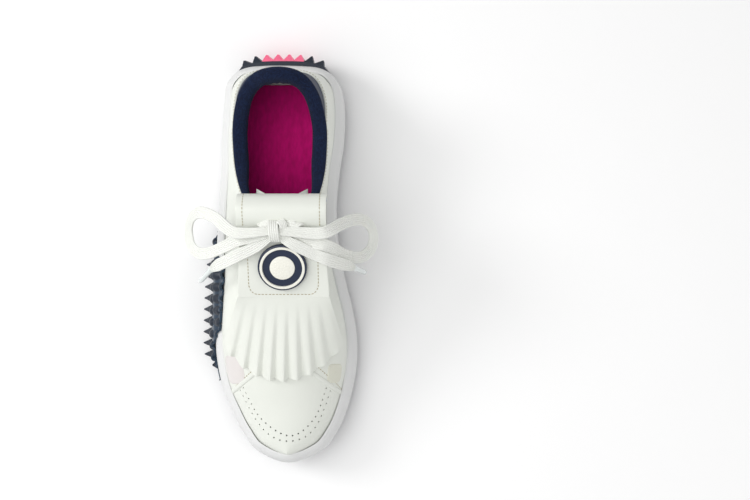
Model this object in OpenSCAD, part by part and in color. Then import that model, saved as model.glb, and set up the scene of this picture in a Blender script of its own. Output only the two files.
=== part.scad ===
// Spikeless kiltie golf shoe, right foot.
// Inside the modules x runs towards the medial side, s runs from the heel spikes (0)
// to the toe tip (285) and z runs up from the ground. place() turns [x, s, z] into the
// part's own frame: origin at the middle of the footprint on the ground, toe towards -Y.

/* [Shoe] */
// Overall length from the heel spikes to the toe tip
shoe_l = 285; // [270:1:290]
// Widest width of the footprint, studs of the side wing included
shoe_w = 110; // [105:1:113]
// Height of the heel collar above the ground
collar_h = 103; // [98:1:106]

/* [Outsole] */
// Height of the pyramid studs
stud_h = 4.6; // [3:0.1:5.5]
// Thickness of the rubber plate
plate_t = 3; // [2:0.1:3.2]
// Thickness of the rubber side wing
wing_t = 1.6; // [1.2:0.1:2]
// Height of the round bumps on the side wing
bump_h = 1.6; // [1:0.1:2]

/* [Upper] */
// Thickness of the outer leather
leather_t = 1.5; // [1.2:0.1:1.6]
// Diameter of the punched lace holes
eyelet_d = 4.4; // [3.5:0.1:5]

/* [Kiltie] */
// Width of the folded kiltie strap
kiltie_w = 56; // [50:1:58]
// Thickness of the kiltie's leather
kiltie_t = 1.3; // [1:0.1:1.4]
// Number of pleats in the fringe
pleats = 9; // [8:1:14]
// Diameter of the medallion
medallion_d = 31.4; // [28:0.2:32]

/* [Lace] */
// Diameter of the rolled lace
lace_d = 3.6; // [3:0.1:3.8]

/* [Hidden] */
$fn = 48;

white = [0.91, 0.92, 0.89];
foam_white = [0.86, 0.87, 0.88];
navy = [0.07, 0.12, 0.20];
slate = [0.17, 0.20, 0.28];
pink = [1.0, 0.45, 0.58];
magenta = [0.75, 0.08, 0.42];
grey = [0.45, 0.45, 0.48];

// The design is drawn at 285 long, 110 wide and 103 high, then scaled to the sizes above
design_l = 285;
design_w = 110;
design_h = 103;
// The footprint's middle lies this far to the lateral side of the design's x = 0
mid_x = -3.7;
scale_x = shoe_w / design_w;
scale_y = shoe_l / design_l;
scale_z = collar_h / design_h;
function place(p) = [(p[0] - mid_x) * scale_x, shoe_l / 2 - p[1] * scale_y, p[2] * scale_z];

// Outline of the midsole and top line of the upper, from the heel (first row) to the toe:
// [outline x, outline s, top x, top s, top z]. Rows 0 to 9 run round the collar, 9 to 13
// along the throat and 13 to 19 along the ridge of the vamp.
LATERAL = [[0, 6.5, 2, 25, 103], [-14, 7, -9, 26.5, 101.5], [-25, 9, -17, 30.5, 97.5],
    [-34, 14, -23.5, 38, 92], [-40.8, 23.5, -27.5, 48, 86], [-42.4, 40, -30, 60, 77.5],
    [-43.8, 62, -30, 72, 74.5], [-44.2, 84, -28, 88, 77.5], [-45.5, 104, -23.5, 103, 84.5],
    [-46.6, 122, -16, 119, 92], [-47.5, 140, -10.5, 138, 86], [-48.2, 160, -8, 158, 79.5],
    [-48.8, 180, -6, 180, 72.5], [-48.8, 200, -2, 201, 66.5], [-46.5, 219, 3.2, 216, 62.5],
    [-42.6, 235, 3.6, 231, 57.5], [-36, 249.5, 4, 244, 52.8], [-28.4, 263.5, 4.4, 256, 49.6],
    [-17.2, 277, 4.6, 266, 47], [4.6, 285, 4.6, 276, 44]];
MEDIAL = [[0, 6.5, 2, 25, 103], [14, 7.2, 13, 26.5, 101.5], [25, 9.2, 21, 31, 97.5],
    [34, 14.5, 27, 39, 92], [40.8, 24.5, 30.5, 49, 86.5], [42.8, 41, 32.5, 61, 79],
    [42, 62, 32.5, 74, 76], [38.8, 84, 31.5, 89, 79], [37, 104, 28.5, 104, 86],
    [37.2, 122, 22.5, 119, 92.5], [39.5, 140, 18, 138, 86], [43.5, 160, 15, 158, 79.5],
    [48.5, 180, 12.5, 180, 72.5], [51.4, 199, 8.5, 201, 66.5], [51.2, 218, 3.2, 216, 62.5],
    [48.6, 234, 3.6, 231, 57.5], [44.4, 249.5, 4, 244, 52.8], [38.2, 263.5, 4.4, 256, 49.6],
    [27.2, 277, 4.6, 266, 47], [4.6, 285, 4.6, 276, 44]];
LAST = len(LATERAL) - 1;
THROAT_TOP = 9;
THROAT_END = 13;
// Height of the midsole's top edge and of the footbed's board, by station
MIDSOLE_TOP = [[0, 43.5], [17, 42.5], [30, 41.5], [56, 39.8], [91, 37.8], [127, 35], [143, 33.5],
    [170, 31], [199, 28.6], [217, 28.3], [233, 29.5], [246, 31.2], [260, 33.4], [270, 35.5],
    [285, 38.5]];
BOARD_TOP = [[0, 26], [60, 25], [110, 22], [150, 19], [200, 17.5], [230, 19], [260, 23.5],
    [285, 28.5]];
// Midsole wall: how far inside the outline it stands, by fraction of its height
WALL = [[0, 1.4], [0.2, 0], [0.5, 1.2], [0.82, 3], [1, 6]];
wall_top_inset = 6;
heel_inset_factor = 1.5;
// Where the vamp leaves the quarters: lowest v of the vamp, by knot
VAMP_EDGE = [[13.1, 0.975], [13.6, 0.92], [14.3, 0.72], [15, 0.4], [15.5, 0.03], [19, 0]];
seam_gap = 0.015;
// Lower edge of the heel tab: height by knot
TAB_EDGE = [[0.3, 56], [0.5, 63], [0.9, 67], [2, 69], [3, 70], [4, 72.5], [4.7, 78], [5, 82]];
tab_end = 5;
back_strip = 0.25;
collar_v = 0.955;
// Depths of the layers below the outer face of the upper
counter_in = 3;
lining_out = 2.8;
lining_in = 3.4;
clearance = 0.2;

function lerp(a, b, t) = a + (b - a) * t;
function clamp01(t) = max(0, min(1, t));
function smooth(t) = clamp01(t) * clamp01(t) * (3 - 2 * clamp01(t));
function unit(v) = v / norm(v);
// Catmull-Rom curve through the rows of a list, t = 0 at the first row
function curve4(a, b, c, d, t) =
    0.5 * (2 * b + (c - a) * t + (2 * a - 5 * b + 4 * c - d) * t * t
        + (3 * b - a - 3 * c + d) * t * t * t);
function spline(rows, t) =
    let (n = len(rows) - 1, i = min(n - 1, max(0, floor(t))))
    curve4(rows[max(0, i - 1)], rows[i], rows[i + 1], rows[min(n, i + 2)], t - i);
// Each side's rows with the other side's next rows beyond the heel and the toe, so that
// the outline runs smoothly round both ends. Side 0 is lateral, side 1 is medial.
ROUND = [concat([MEDIAL[1]], LATERAL, [MEDIAL[LAST - 1]]),
    concat([LATERAL[1]], MEDIAL, [LATERAL[LAST - 1]])];
function knot(side, u) = spline(ROUND[side], u + 1);
function steps(a, b, n) = [for (i = [0:n]) lerp(a, b, i / n)];

// ---- sole surfaces ----
function toe_spring(s) = s > 222 ? 12 * pow((s - 222) / 57, 1.6) : 0;
function heel_rise(s) = s < 25 ? 2 * pow((25 - s) / 17, 2) : 0;
function ground(s) = toe_spring(s) + heel_rise(s);
function wall_foot(s) = ground(s) + stud_h + plate_t + 0.25;
function midsole_top(s) = lookup(s, MIDSOLE_TOP);
function board_top(s) = lookup(s, BOARD_TOP);
// How much deeper the insets are round the heel
function heel_factor(u) = lerp(heel_inset_factor, 1, smooth(u / 3));
// Unit vector in plan that points into the shoe
function inward(side, u) =
    u < 0.01 ? [0, 1] : u > LAST - 0.01 ? [0, -1] :
    let (a = knot(side, max(0, u - 0.05)), b = knot(side, min(LAST, u + 0.05)),
        d = unit([b[1] - a[1], a[0] - b[0]]))
    side == 0 ? d : -d;
// Point in plan at a distance inside the outline
function inset(side, u, d) =
    let (k = knot(side, u), n = inward(side, u)) [k[0] + n[0] * d, k[1] + n[1] * d];
// Point on the midsole's wall: f = 0 at its foot, 1 at its top edge
function wall(side, u, f, out = 0) =
    let (p = inset(side, u, lookup(f, WALL) * heel_factor(u) - out), s = knot(side, u)[1])
    [p[0], p[1], lerp(wall_foot(s), midsole_top(s), f)];

// ---- upper surface ----
// Slope of the top line, as height per station. The vamp leaves its ridge level across.
function ridge_slope(u) =
    let (a = knot(0, max(THROAT_END, u - 0.2)), b = knot(0, min(LAST, u + 0.2)))
    (b[4] - a[4]) / (b[3] - a[3]);
feather = wall_top_inset + 0.3;
// Point on the outer face: u from heel to toe, v from the footbed up to the top line
function upper(side, u, v) =
    let (k = knot(side, u), f = inset(side, u, feather * heel_factor(u)),
        foot = [f[0], f[1], board_top(k[1]) + 0.2], top = [k[2], k[3], k[4]],
        w = smooth((u - 9.5) / 3.5), rise = top - foot,
        low = foot + [0, 0, lerp(0.5, 0.62, w) * rise[2]],
        over = lerp(0.1, 0.55, w),
        level = lerp(0.3 * rise[2], over * rise[1] * ridge_slope(u), w),
        high = top - [over * rise[0], over * rise[1], level], c = 1 - v)
    c * c * c * foot + 3 * c * c * v * low + 3 * c * v * v * high + v * v * v * top;
// Outward unit normal in [x, s, z]
function normal(side, u, v) =
    let (e = 0.03, a = upper(side, min(LAST, u + e), v), b = upper(side, max(0, u - e), v),
        c = upper(side, u, min(1, v + e)), d = upper(side, u, max(0, v - e)),
        n = cross(a - b, c - d) * (side == 0 ? 1 : -1),
        seam = u < 0.01 || u > LAST - 0.01 || (v > 0.99 && u > 13.9))
    unit([seam ? 0 : -n[0], -n[1], -n[2]]);
function upper_in(side, u, v, depth) = upper(side, u, v) - normal(side, u, v) * depth;
// The v at which the outer face reaches a height
function v_at(side, u, z, lo = 0, hi = 1, n = 11) =
    n == 0 ? (lo + hi) / 2 :
    let (m = (lo + hi) / 2)
    upper(side, u, m)[2] < z ? v_at(side, u, z, m, hi, n - 1) : v_at(side, u, z, lo, m, n - 1);

// ---- closed solids from grids of points ----
// A wall between an outer grid and an inner grid of [x, s, z] points. Along the rows and
// then along the columns is the outward direction, by the right hand.
module skin(outer, inner) {
    n = len(outer) - 1;
    m = len(outer[0]) - 1;
    w = m + 1;
    o = (n + 1) * w;
    points = [for (row = outer) for (p = row) place(p), for (row = inner) for (p = row) place(p)];
    faces = [for (i = [0:n - 1]) for (j = [0:m - 1])
            let (a = i * w + j, b = a + 1, c = a + w, d = c + 1)
            each [[a, b, d], [a, d, c], [o + a, o + d, o + b], [o + a, o + c, o + d]],
        for (i = [0:n - 1]) let (a = i * w, b = a + w) each [[a, b, o + b], [a, o + b, o + a]],
        for (i = [0:n - 1])
            let (a = i * w + m, b = a + w) each [[a, o + b, b], [a, o + a, o + b]],
        for (j = [0:m - 1]) let (a = j, b = j + 1) each [[a, o + b, b], [a, o + a, o + b]],
        for (j = [0:m - 1])
            let (a = n * w + j, b = a + 1) each [[a, b, o + b], [a, o + b, o + a]]];
    polyhedron(points = points, faces = faces, convexity = 8);
}

// The same wall with a pyramid on each cell whose tip is given; undef leaves a flat cell
module studded(outer, inner, tips) {
    n = len(outer) - 1;
    m = len(outer[0]) - 1;
    w = m + 1;
    o = (n + 1) * w;
    t = 2 * o;
    points = [for (row = outer) for (p = row) place(p), for (row = inner) for (p = row) place(p),
        for (i = [0:n - 1]) for (j = [0:m - 1]) place(is_undef(tips[i][j]) ? outer[i][j] : tips[i][j])];
    faces = [for (i = [0:n - 1]) for (j = [0:m - 1])
            let (a = i * w + j, b = a + 1, c = a + w, d = c + 1, k = t + i * m + j)
            each is_undef(tips[i][j]) ? [[a, b, d], [a, d, c]]
                : [[a, b, k], [b, d, k], [d, c, k], [c, a, k]],
        for (i = [0:n - 1]) for (j = [0:m - 1])
            let (a = o + i * w + j, b = a + 1, c = a + w, d = c + 1) each [[a, d, b], [a, c, d]],
        for (i = [0:n - 1]) let (a = i * w, b = a + w) each [[a, b, o + b], [a, o + b, o + a]],
        for (i = [0:n - 1])
            let (a = i * w + m, b = a + w) each [[a, o + b, b], [a, o + a, o + b]],
        for (j = [0:m - 1]) let (a = j, b = j + 1) each [[a, o + b, b], [a, o + a, o + b]],
        for (j = [0:m - 1])
            let (a = n * w + j, b = a + 1) each [[a, b, o + b], [a, o + b, o + a]]];
    polyhedron(points = points, faces = faces, convexity = 8);
}

// A bar swept along rings of points that all have the same number of points. Seen along
// the sweep the ring's points run clockwise. A closed sweep joins its last ring to its first.
module sweep(rings, closed = false) {
    n = len(rings);
    m = len(rings[0]);
    faces = [for (i = [0:closed ? n - 1 : n - 2]) for (j = [0:m - 1])
            let (a = i * m + j, b = i * m + (j + 1) % m, r = (i + 1) % n,
                c = r * m + j, d = r * m + (j + 1) % m)
            each [[a, b, d], [a, d, c]],
        if (!closed) [for (j = [m - 1:-1:0]) j],
        if (!closed) [for (j = [0:m - 1]) (n - 1) * m + j]];
    polyhedron(points = [for (ring = rings) for (p = ring) place(p)], faces = faces,
        convexity = 8);
}

// A round tube along a route of [x, s, z] points
module tube(route, d, sides = 8) {
    n = len(route) - 1;
    sweep([for (i = [0:n])
        let (t = unit(route[min(n, i + 1)] - route[max(0, i - 1)]),
            a = unit(cross(t, abs(t[2]) > 0.9 ? [0, 1, 0] : [0, 0, 1])), b = cross(t, a))
        [for (k = [0:sides - 1]) route[i] + d / 2 * (a * cos(360 * k / sides) + b * sin(360 * k / sides))]]);
}

// A flat plate inside the outline, between two heights given by functions of the station
module plate(d, d_heel, low, high, first = 0, last = LAST) {
    us = steps(first, last, 36);
    function edge(side, u) = inset(side, u, d + (d_heel - d) * (1 - smooth(u / 3)));
    rings = [for (u = us)
        let (l = edge(0, u), m = edge(1, u), s = (l[1] + m[1]) / 2,
            e = u < 0.01 || u > LAST - 0.01 ? 0.5 : 0)
        [[l[0] - e, l[1], low(s)], [l[0] - e, l[1], high(s)], [m[0] + e, m[1], high(s)],
            [m[0] + e, m[1], low(s)]]];
    sweep([for (ring = rings) [ring[3], ring[2], ring[1], ring[0]]]);
}

// ---- sole unit ----
// The studded sheet runs down the back of the heel, round under it and on to the toe.
WRAP_Z = [36, 28.5, 21, 13.5];
stud_columns = 10;
wrap_half = 36;
sole_edge = 0.6;
row_pitch = 8;
plate_rows = 34;
LATERAL_X = [for (k = LATERAL) [k[1], k[0]]];
MEDIAL_X = [for (k = MEDIAL) [k[1], k[0]]];
function heel_curve(x) = 7 * pow(abs(x) / 34, 3.4);
// Point of the studded sheet: row r, column fraction c, offset out of the shoe
function sole_point(r, c, out) =
    r < 4 ?
        let (x = lerp(-wrap_half, wrap_half, c), z = WRAP_Z[r],
            f = (z - wall_foot(8)) / (midsole_top(8) - wall_foot(8)))
        [x, 6.5 + lookup(f, WALL) * heel_inset_factor + heel_curve(x) - 0.75 - out, z]
    : r == 4 ?
        let (x = lerp(-wrap_half, wrap_half, c))
        [x, 8.6 + heel_curve(x) - out * 0.7, 8.4 - out * 0.6]
    :
        let (s = 15 + row_pitch * (r - 5), x = lerp(lookup(s, LATERAL_X) + sole_edge,
            lookup(s, MEDIAL_X) - sole_edge, c),
            bow = 0.6 * heel_curve(min(34, abs(x))) * max(0, 1 - (s - 15) / 30),
            curl = s > 240 ? -0.004 * pow(x - 4.6, 2) * clamp01((s - 240) / 30) : 0,
            y = min(s + bow + curl, 283.5))
        [x, y, ground(y) + stud_h + plate_t - out];
total_rows = 5 + plate_rows - 1;
insert_rows = 8;
insert_from = 3;
insert_to = 6;
// The middle columns of the first rows are left to the heel insert
function in_insert(r, j) = r < insert_rows && j >= insert_from && j <= insert_to;
// Beside the wing the sheet's lateral edge flares out and its studs point sideways
flare_reach = 3.6;
flare_stud = 6.5;
function flare(s) = smooth((s - 128) / 20) * smooth((232 - s) / 20);
function sheet_point(r, c, out) =
    let (p = sole_point(r, c, out))
    c == 0 && r > 4 ? p + flare(p[1]) * [-flare_reach, 0, 0] : p;
function stud_tip(r, j, tall) =
    let (m = stud_columns,
        a = (sole_point(r, j / m, tall) + sole_point(r, (j + 1) / m, tall)
            + sole_point(r + 1, j / m, tall) + sole_point(r + 1, (j + 1) / m, tall)) / 4,
        f = flare(a[1]))
    j == 0 && f > 0
        ? [lerp(a[0], sheet_point(r, 0, tall)[0] - flare_stud, f), a[1], a[2] + 1.5 * f] : a;

module outsole() {
    color(navy)
    studded([for (r = [0:total_rows]) [for (j = [0:stud_columns]) sheet_point(r, j / stud_columns, plate_t)]],
        [for (r = [0:total_rows]) [for (j = [0:stud_columns]) sheet_point(r, j / stud_columns, 0)]],
        [for (r = [0:total_rows - 1]) [for (j = [0:stud_columns - 1])
            in_insert(r, j) ? undef : stud_tip(r, j, plate_t + stud_h)]]);
}

module heel_insert() {
    lo = insert_from / stud_columns;
    hi = (insert_to + 1) / stud_columns;
    cols = insert_to - insert_from + 1;
    color(pink)
    studded([for (r = [0:insert_rows]) [for (j = [0:cols]) sole_point(r, lerp(lo, hi, j / cols), plate_t + 0.8)]],
        [for (r = [0:insert_rows]) [for (j = [0:cols]) sole_point(r, lerp(lo, hi, j / cols), plate_t + 0.02)]],
        [for (r = [0:insert_rows - 1]) [for (j = [0:cols - 1])
            stud_tip(r, insert_from + j, plate_t + stud_h)]]);
}

// Top edge of the side wing: height by station
WING_TOP = [[118, 8.4], [126, 10], [133.5, 19], [139, 27.4], [144.8, 34], [150.5, 37.8],
    [156, 39.5], [166.5, 38.7], [175, 36.9], [182.6, 35], [191, 32], [198.7, 27.4],
    [205.3, 19.8], [212.8, 13.2], [221.4, 9], [230, 8.2]];
wing_first = 9;
wing_last = 14.5;
wing_gap = 0.4;
WING_LEVELS = [0, 0.2, 0.5, 0.82, 0.97];
wing_rows = len(WING_LEVELS) + 1;
// Height of a row of the wing's grid: up the wall by its breaks, then on over the upper
function wing_z(s, j) =
    let (foot = wall_foot(s), wall_h = midsole_top(s) - foot,
        top = max(foot + 1, lookup(s, WING_TOP)),
        z = j < len(WING_LEVELS) ? foot + WING_LEVELS[j] * wall_h
            : j < wing_rows ? lerp(foot + wall_h, top, 0.45) : top)
    min(z, top - 0.12 * (wing_rows - j));
function wing_point(u, j, out) =
    let (s = knot(0, u)[1], foot = wall_foot(s), wall_h = midsole_top(s) - foot,
        z = lerp(wing_z(s, floor(j)), wing_z(s, min(wing_rows, floor(j) + 1)), j - floor(j)))
    z <= foot + wall_h ? wall(0, u, (z - foot) / wall_h, out + wing_gap)
        : upper_in(0, u, v_at(0, u, z), -wing_gap - out);

module side_wing() {
    us = steps(wing_first, wing_last, 11);
    color(navy)
    studded([for (u = us) [for (j = [0:wing_rows]) wing_point(u, j, wing_t)]],
        [for (u = us) [for (j = [0:wing_rows]) wing_point(u, j, 0)]],
        [for (i = [0:10]) [for (j = [0:wing_rows - 1])
            let (um = (us[i] + us[i + 1]) / 2, s = knot(0, um)[1])
            wing_z(s, j + 1) - wing_z(s, j) > 4 ? wing_point(um, j + 0.5, wing_t + bump_h) : undef]]);
}

module midsole_shell() {
    us = concat(steps(0, LAST, 38), [for (i = [1:37]) LAST - i / 2]);
    function ring(side, u) =
        let (s = knot(side, u)[1], f = inset(side, u, wall_top_inset * heel_factor(u)))
        [[f[0], f[1], wall_foot(s)], wall(side, u, 0), wall(side, u, 0.2), wall(side, u, 0.5),
            wall(side, u, 0.82), wall(side, u, 0.97), [f[0], f[1], midsole_top(s)]];
    rings = [for (i = [0:75]) ring(i <= 38 ? 0 : 1, us[i])];
    color(foam_white)
    sweep([for (ring = rings) [for (k = [6:-1:0]) ring[k]]], closed = true);
}

core_inset = wall_top_inset + clearance;
board_t = 2;
module midsole_core() {
    color("whitesmoke")
    plate(core_inset, core_inset * heel_inset_factor, function (s) wall_foot(s),
        function (s) board_top(s) - board_t - 0.1);
}

// The shank is moulded into the top of the core
shank_w = 24;
shank_t = 1.3;
module shank() {
    color(grey)
    sweep([for (s = [60:15:150])
        let (top = board_top(s) - board_t - 0.15, w = shank_w / 2)
        [[w, s, top - shank_t], [w, s, top], [-w, s, top], [-w, s, top - shank_t]]]);
}

module insole_board() {
    color("tan")
    plate(core_inset + 0.2, core_inset * heel_inset_factor + 0.2, function (s) board_top(s) - board_t,
        function (s) board_top(s));
}

insole_inset = 11;
insole_t = 4.5;
cover_t = 0.8;
module insole_foam() {
    color(pink)
    plate(insole_inset, insole_inset * heel_inset_factor - 2, function (s) board_top(s) + 0.1,
        function (s) board_top(s) + insole_t);
}

module insole_cover() {
    color(magenta)
    plate(insole_inset, insole_inset * heel_inset_factor - 2,
        function (s) board_top(s) + insole_t + 0.05,
        function (s) board_top(s) + insole_t + 0.05 + cover_t);
}

// ---- upper ----
function tab_v(side, u) =
    u <= back_strip ? 0.05 : min(collar_v - 0.01, v_at(side, u, lookup(u, TAB_EDGE)));
// Upper edge of a quarter, as v, by knot
function quarter_top(side, u) =
    u < tab_end ? min(collar_v, tab_v(side, u) - seam_gap)
        : u < THROAT_END ? lerp(collar_v, 1, smooth((u - 8.9) / 0.6))
        : lookup(u, VAMP_EDGE);
EYELETS = [122.5, 136, 150, 164, 178, 191];
eyelet_v = 0.86;
function eyelet_u(s) = lookup(s, [[119, 9], [138, 10], [158, 11], [180, 12], [201, 13]]);

// Punches for the six lace holes of one side
module eyelet_punches(side) {
    for (s = EYELETS) {
        u = eyelet_u(s);
        p = place(upper(side, u, eyelet_v));
        n = normal(side, u, eyelet_v);
        translate(p)
        rotate([0, acos(n[2]), atan2(-n[1], n[0])])
        translate([0, 0, -8])
        cylinder(d = eyelet_d, h = 16, $fn = 24);
    }
}

module quarter(side) {
    us = concat([0.3, 0.5, 0.75], steps(1, 15, 28), [15.4]);
    vs = [for (i = [0:8]) 0.02 + 0.98 * i / 8];
    rows = side == 0 ? us : [for (i = [len(us) - 1:-1:0]) us[i]];
    function grid(depth) = [for (u = rows) let (top = quarter_top(side, u))
        [for (v = vs) upper_in(side, u, v * top, depth)]];
    color(white)
    difference() {
        skin(grid(0), grid(leather_t));
        eyelet_punches(side);
    }
}

module quarter_lateral() {
    quarter(0);
}

module quarter_medial() {
    quarter(1);
}

// A layer across the forefoot: lateral side, ridge, medial side. It stops just short of
// the toe's centre line.
toe_end = LAST - 0.05;
toe_rows = [16.5, 17, 17.5, 18, 18.5, 18.8, toe_end];
module forefoot(us, depth_out, depth_in, v_low, columns = 8) {
    function row(u, depth) =
        let (lo = v_low(u))
        concat([for (i = [0:columns]) upper_in(0, u, lerp(lo, 1, i / columns), depth)],
            [for (i = [columns - 1:-1:0]) upper_in(1, u, lerp(lo, 1, i / columns), depth)]);
    skin([for (u = us) row(u, depth_out)], [for (u = us) row(u, depth_in)]);
}

module vamp() {
    us = concat([13.3, 13.6, 14, 14.5, 15, 15.15, 15.3, 15.5, 16], toe_rows);
    color(white)
    forefoot(us, 0, leather_t, function (u) min(0.98, lookup(u, VAMP_EDGE) + seam_gap));
}

module toe_puff() {
    color("wheat")
    forefoot(toe_rows, leather_t + 0.5, lining_out - 0.2, function (u) 0.12);
}

module vamp_lining() {
    color(foam_white)
    forefoot(concat([14, 14.5, 15, 15.15, 15.3, 15.5, 16], toe_rows), lining_out, lining_in, function (u) 0.03);
}

// Grid round the heel, from the medial front to the lateral front; w < 0 is medial
function heel_u(w) = abs(w);
function heel_side(w) = w < 0 ? 1 : 0;

module heel_counter() {
    ws = steps(-4, 4, 16);
    vs = steps(0.03, 0.45, 4);
    function grid(depth) = [for (w = ws) [for (v = vs) upper_in(heel_side(w), heel_u(w), v, depth)]];
    color("tan") skin(grid(leather_t + 0.3), grid(counter_in));
}

module heel_tab() {
    ws = concat([for (w = [tab_end - 0.1, 4.7, 4.35, 4, 3.5, 3, 2.5, 2, 1.5, 1, 0.75, 0.5, 0.3,
        back_strip]) -w], [-0.12, 0, 0.12], [back_strip, 0.3, 0.5, 0.75, 1, 1.5, 2, 2.5, 3, 3.5,
        4, 4.35, 4.7, tab_end - 0.1]);
    function grid(depth) = [for (w = ws)
        let (side = heel_side(w), u = heel_u(w), lo = tab_v(side, u))
        [for (t = [0:5]) upper_in(side, u, lerp(lo, collar_v, t / 5), depth)]];
    color(slate) skin(grid(0), grid(leather_t));
}

// Section of the padded collar as [v, depth] pairs
LINING_OUT = [[0.962, 0.2], [0.985, 0.7], [0.998, 2.4], [1, 4.8], [0.99, 7.6], [0.96, 9.4],
    [0.9, 10.2], [0.8, 9.6], [0.66, 6.6], [0.5, 4.6], [0.3, 4.1], [0.08, 4]];
LINING_IN = [[0.962, 1.5], [0.976, 1.8], [0.984, 3], [0.985, 4.9], [0.977, 6.9], [0.952, 8.4],
    [0.9, 9.2], [0.8, 8.6], [0.66, 5.6], [0.5, 3.7], [0.3, 3.3], [0.08, 3.2]];
FOAM = [[0.7, 2.3], [0.9, 2.2], [0.955, 2.2], [0.97, 3.3], [0.971, 4.9], [0.965, 6.6],
    [0.945, 7.9], [0.9, 8.8], [0.8, 8.2], [0.7, 6]];
collar_end = 8.8;
// The padding thins out towards the throat
pad_from = 2.4;
function pad(w, depth) =
    min(depth, pad_from) + max(0, depth - pad_from) * lerp(1, 0.3, smooth((abs(w) - 6.5) / 2.3));
function collar_ws() = concat([-collar_end], steps(-8.5, 8.5, 34), [collar_end]);

module collar_lining() {
    color(navy)
    skin([for (w = collar_ws()) [for (q = LINING_IN) upper_in(heel_side(w), heel_u(w), q[0], pad(w, q[1]))]],
        [for (w = collar_ws()) [for (q = LINING_OUT) upper_in(heel_side(w), heel_u(w), q[0], pad(w, q[1]))]]);
}

module collar_foam() {
    ws = steps(-8.5, 8.5, 34);
    color("khaki")
    sweep([for (w = ws) [for (q = FOAM) upper_in(heel_side(w), heel_u(w), q[0], pad(w, q[1]))]]);
}

module eyestay(side) {
    us = steps(9.35, 12.9, 8);
    rows = side == 0 ? us : [for (i = [len(us) - 1:-1:0]) us[i]];
    function grid(depth) = [for (u = rows) [for (v = steps(0.74, 0.97, 2)) upper_in(side, u, v, depth)]];
    color(white)
    difference() {
        skin(grid(leather_t + 0.3), grid(leather_t + 1));
        eyelet_punches(side);
    }
}

module eyestay_lateral() {
    eyestay(0);
}

module eyestay_medial() {
    eyestay(1);
}

module label_patch(side, us, v_lo, v_hi) {
    rows = side == 0 ? us : [for (i = [len(us) - 1:-1:0]) us[i]];
    function grid(depth) = [for (u = rows) [for (v = steps(v_lo, v_hi, 3)) upper_in(side, u, v, depth)]];
    color("gainsboro") skin(grid(-0.5), grid(-0.08));
}

module label_lateral() {
    label_patch(0, steps(13.9, 14.75, 3), 0.3, 0.52);
}

module label_medial() {
    label_patch(1, steps(13.9, 14.75, 3), 0.3, 0.48);
}

// ---- tongue ----
TONGUE = [[95, 83, 15], [106, 86, 15.5], [118, 86, 15], [128, 84, 14.5], [142, 79, 14], [158, 73, 13.5],
    [180, 66, 12.5], [200, 60, 11], [212, 56.8, 10]];
tongue_x = 3.2;
tongue_arch = 10;
function tongue_point(t, a, depth) =
    let (p = spline(TONGUE, t))
    [tongue_x + a * p[2], p[0] + (t == 0 ? 3 * (1 - abs(a)) : 0),
        p[1] - tongue_arch * a * a * pow(p[2] / 20, 2) - depth];

module tongue_layer(depth_out, depth_in) {
    ts = steps(0, 8, 16);
    cols = steps(-1, 1, 8);
    skin([for (t = ts) [for (a = cols) tongue_point(t, a, depth_out)]],
        [for (t = ts) [for (a = cols) tongue_point(t, a, depth_in)]]);
}

module tongue() {
    color(white) tongue_layer(0, 1.2);
}

module tongue_padding() {
    color(navy) tongue_layer(1.25, 3.6);
}

// ---- kiltie ----
// Middle line of the strap as [s, z]: up from the tongue, folded forward, down to the hinge
STRAP = [[100.8, 87], [101.6, 95], [104.6, 102.6], [110, 108.3], [116.5, 110.3], [122.5, 109],
    [128, 104.4], [133, 101.2], [142, 96.95], [152, 92.2], [162, 87.45], [171.8, 82.8]];
kiltie_x = 5;
lining_t = 0.8;
strap_line = [for (i = [0:33]) spline(STRAP, i / 3)];
function strap_offset(i, d) =
    let (n = len(strap_line) - 1,
        t = unit(strap_line[min(n, i + 1)] - strap_line[max(0, i - 1)]))
    strap_line[i] + d * [t[1], -t[0]];
// Extrudes an [s, z] outline across the strap, w wide
module across(outline, w) {
    translate([(kiltie_x - mid_x) * scale_x - w / 2, 0, 0])
    rotate([90, 0, 90])
    linear_extrude(height = w)
    polygon([for (p = outline) [shoe_l / 2 - p[0] * scale_y, p[1] * scale_z]]);
}

module strap_layer(d_in, d_out, last) {
    across(concat([for (i = [0:last]) strap_offset(i, d_out)],
        [for (i = [last:-1:0]) strap_offset(i, d_in)]), kiltie_w);
}

LACE_HOLES = [-8, 18];
lace_hole_s = 126.5;
module lace_hole_punches() {
    for (x = LACE_HOLES)
        translate(place([x, lace_hole_s, 98]))
        cylinder(d = eyelet_d, h = 16, $fn = 24);
}

module kiltie_strap() {
    color(white)
    difference() {
        strap_layer(-kiltie_t, 0, 33);
        lace_hole_punches();
        on_medallion(-4) cylinder(r = rivet_r + 0.05, h = 6, $fn = 32);
    }
}

module kiltie_lining() {
    color("lavender")
    difference() {
        strap_layer(0.05, 0.05 + lining_t, 27);
        lace_hole_punches();
        on_medallion(-3) cylinder(r = rivet_head_r + 0.25, h = 3.2, $fn = 32);
    }
}

// Fringe: a from -1 (lateral) to 1 (medial), b from 0 (hinge) to 1 (hem)
hinge_s = 172.1;
hinge_z = 83.8;
fringe_top = [172.4, 83.1];
hem_s = 227;
hem_z = 62;
hem_x = 2.2;
hem_half = 41;
hem_lift = 24;
hem_drop = 11;
pleat_depth = 1;
fringe_t = 1.7;
function fringe_point(a, b, k, depth) =
    let (x0 = kiltie_x + kiltie_w / 2 * a, x1 = hem_x + hem_half * a,
        s1 = hem_s - hem_lift * pow(abs(a), 2.2), z1 = hem_z - hem_drop * a * a,
        fold = pleat_depth * (k % 2 == 0 ? 1 : -1) * smooth(b * 1.3))
    [lerp(x0, x1, b), lerp(fringe_top[0], s1, b), lerp(fringe_top[1], z1, b) + fold - depth];

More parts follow.
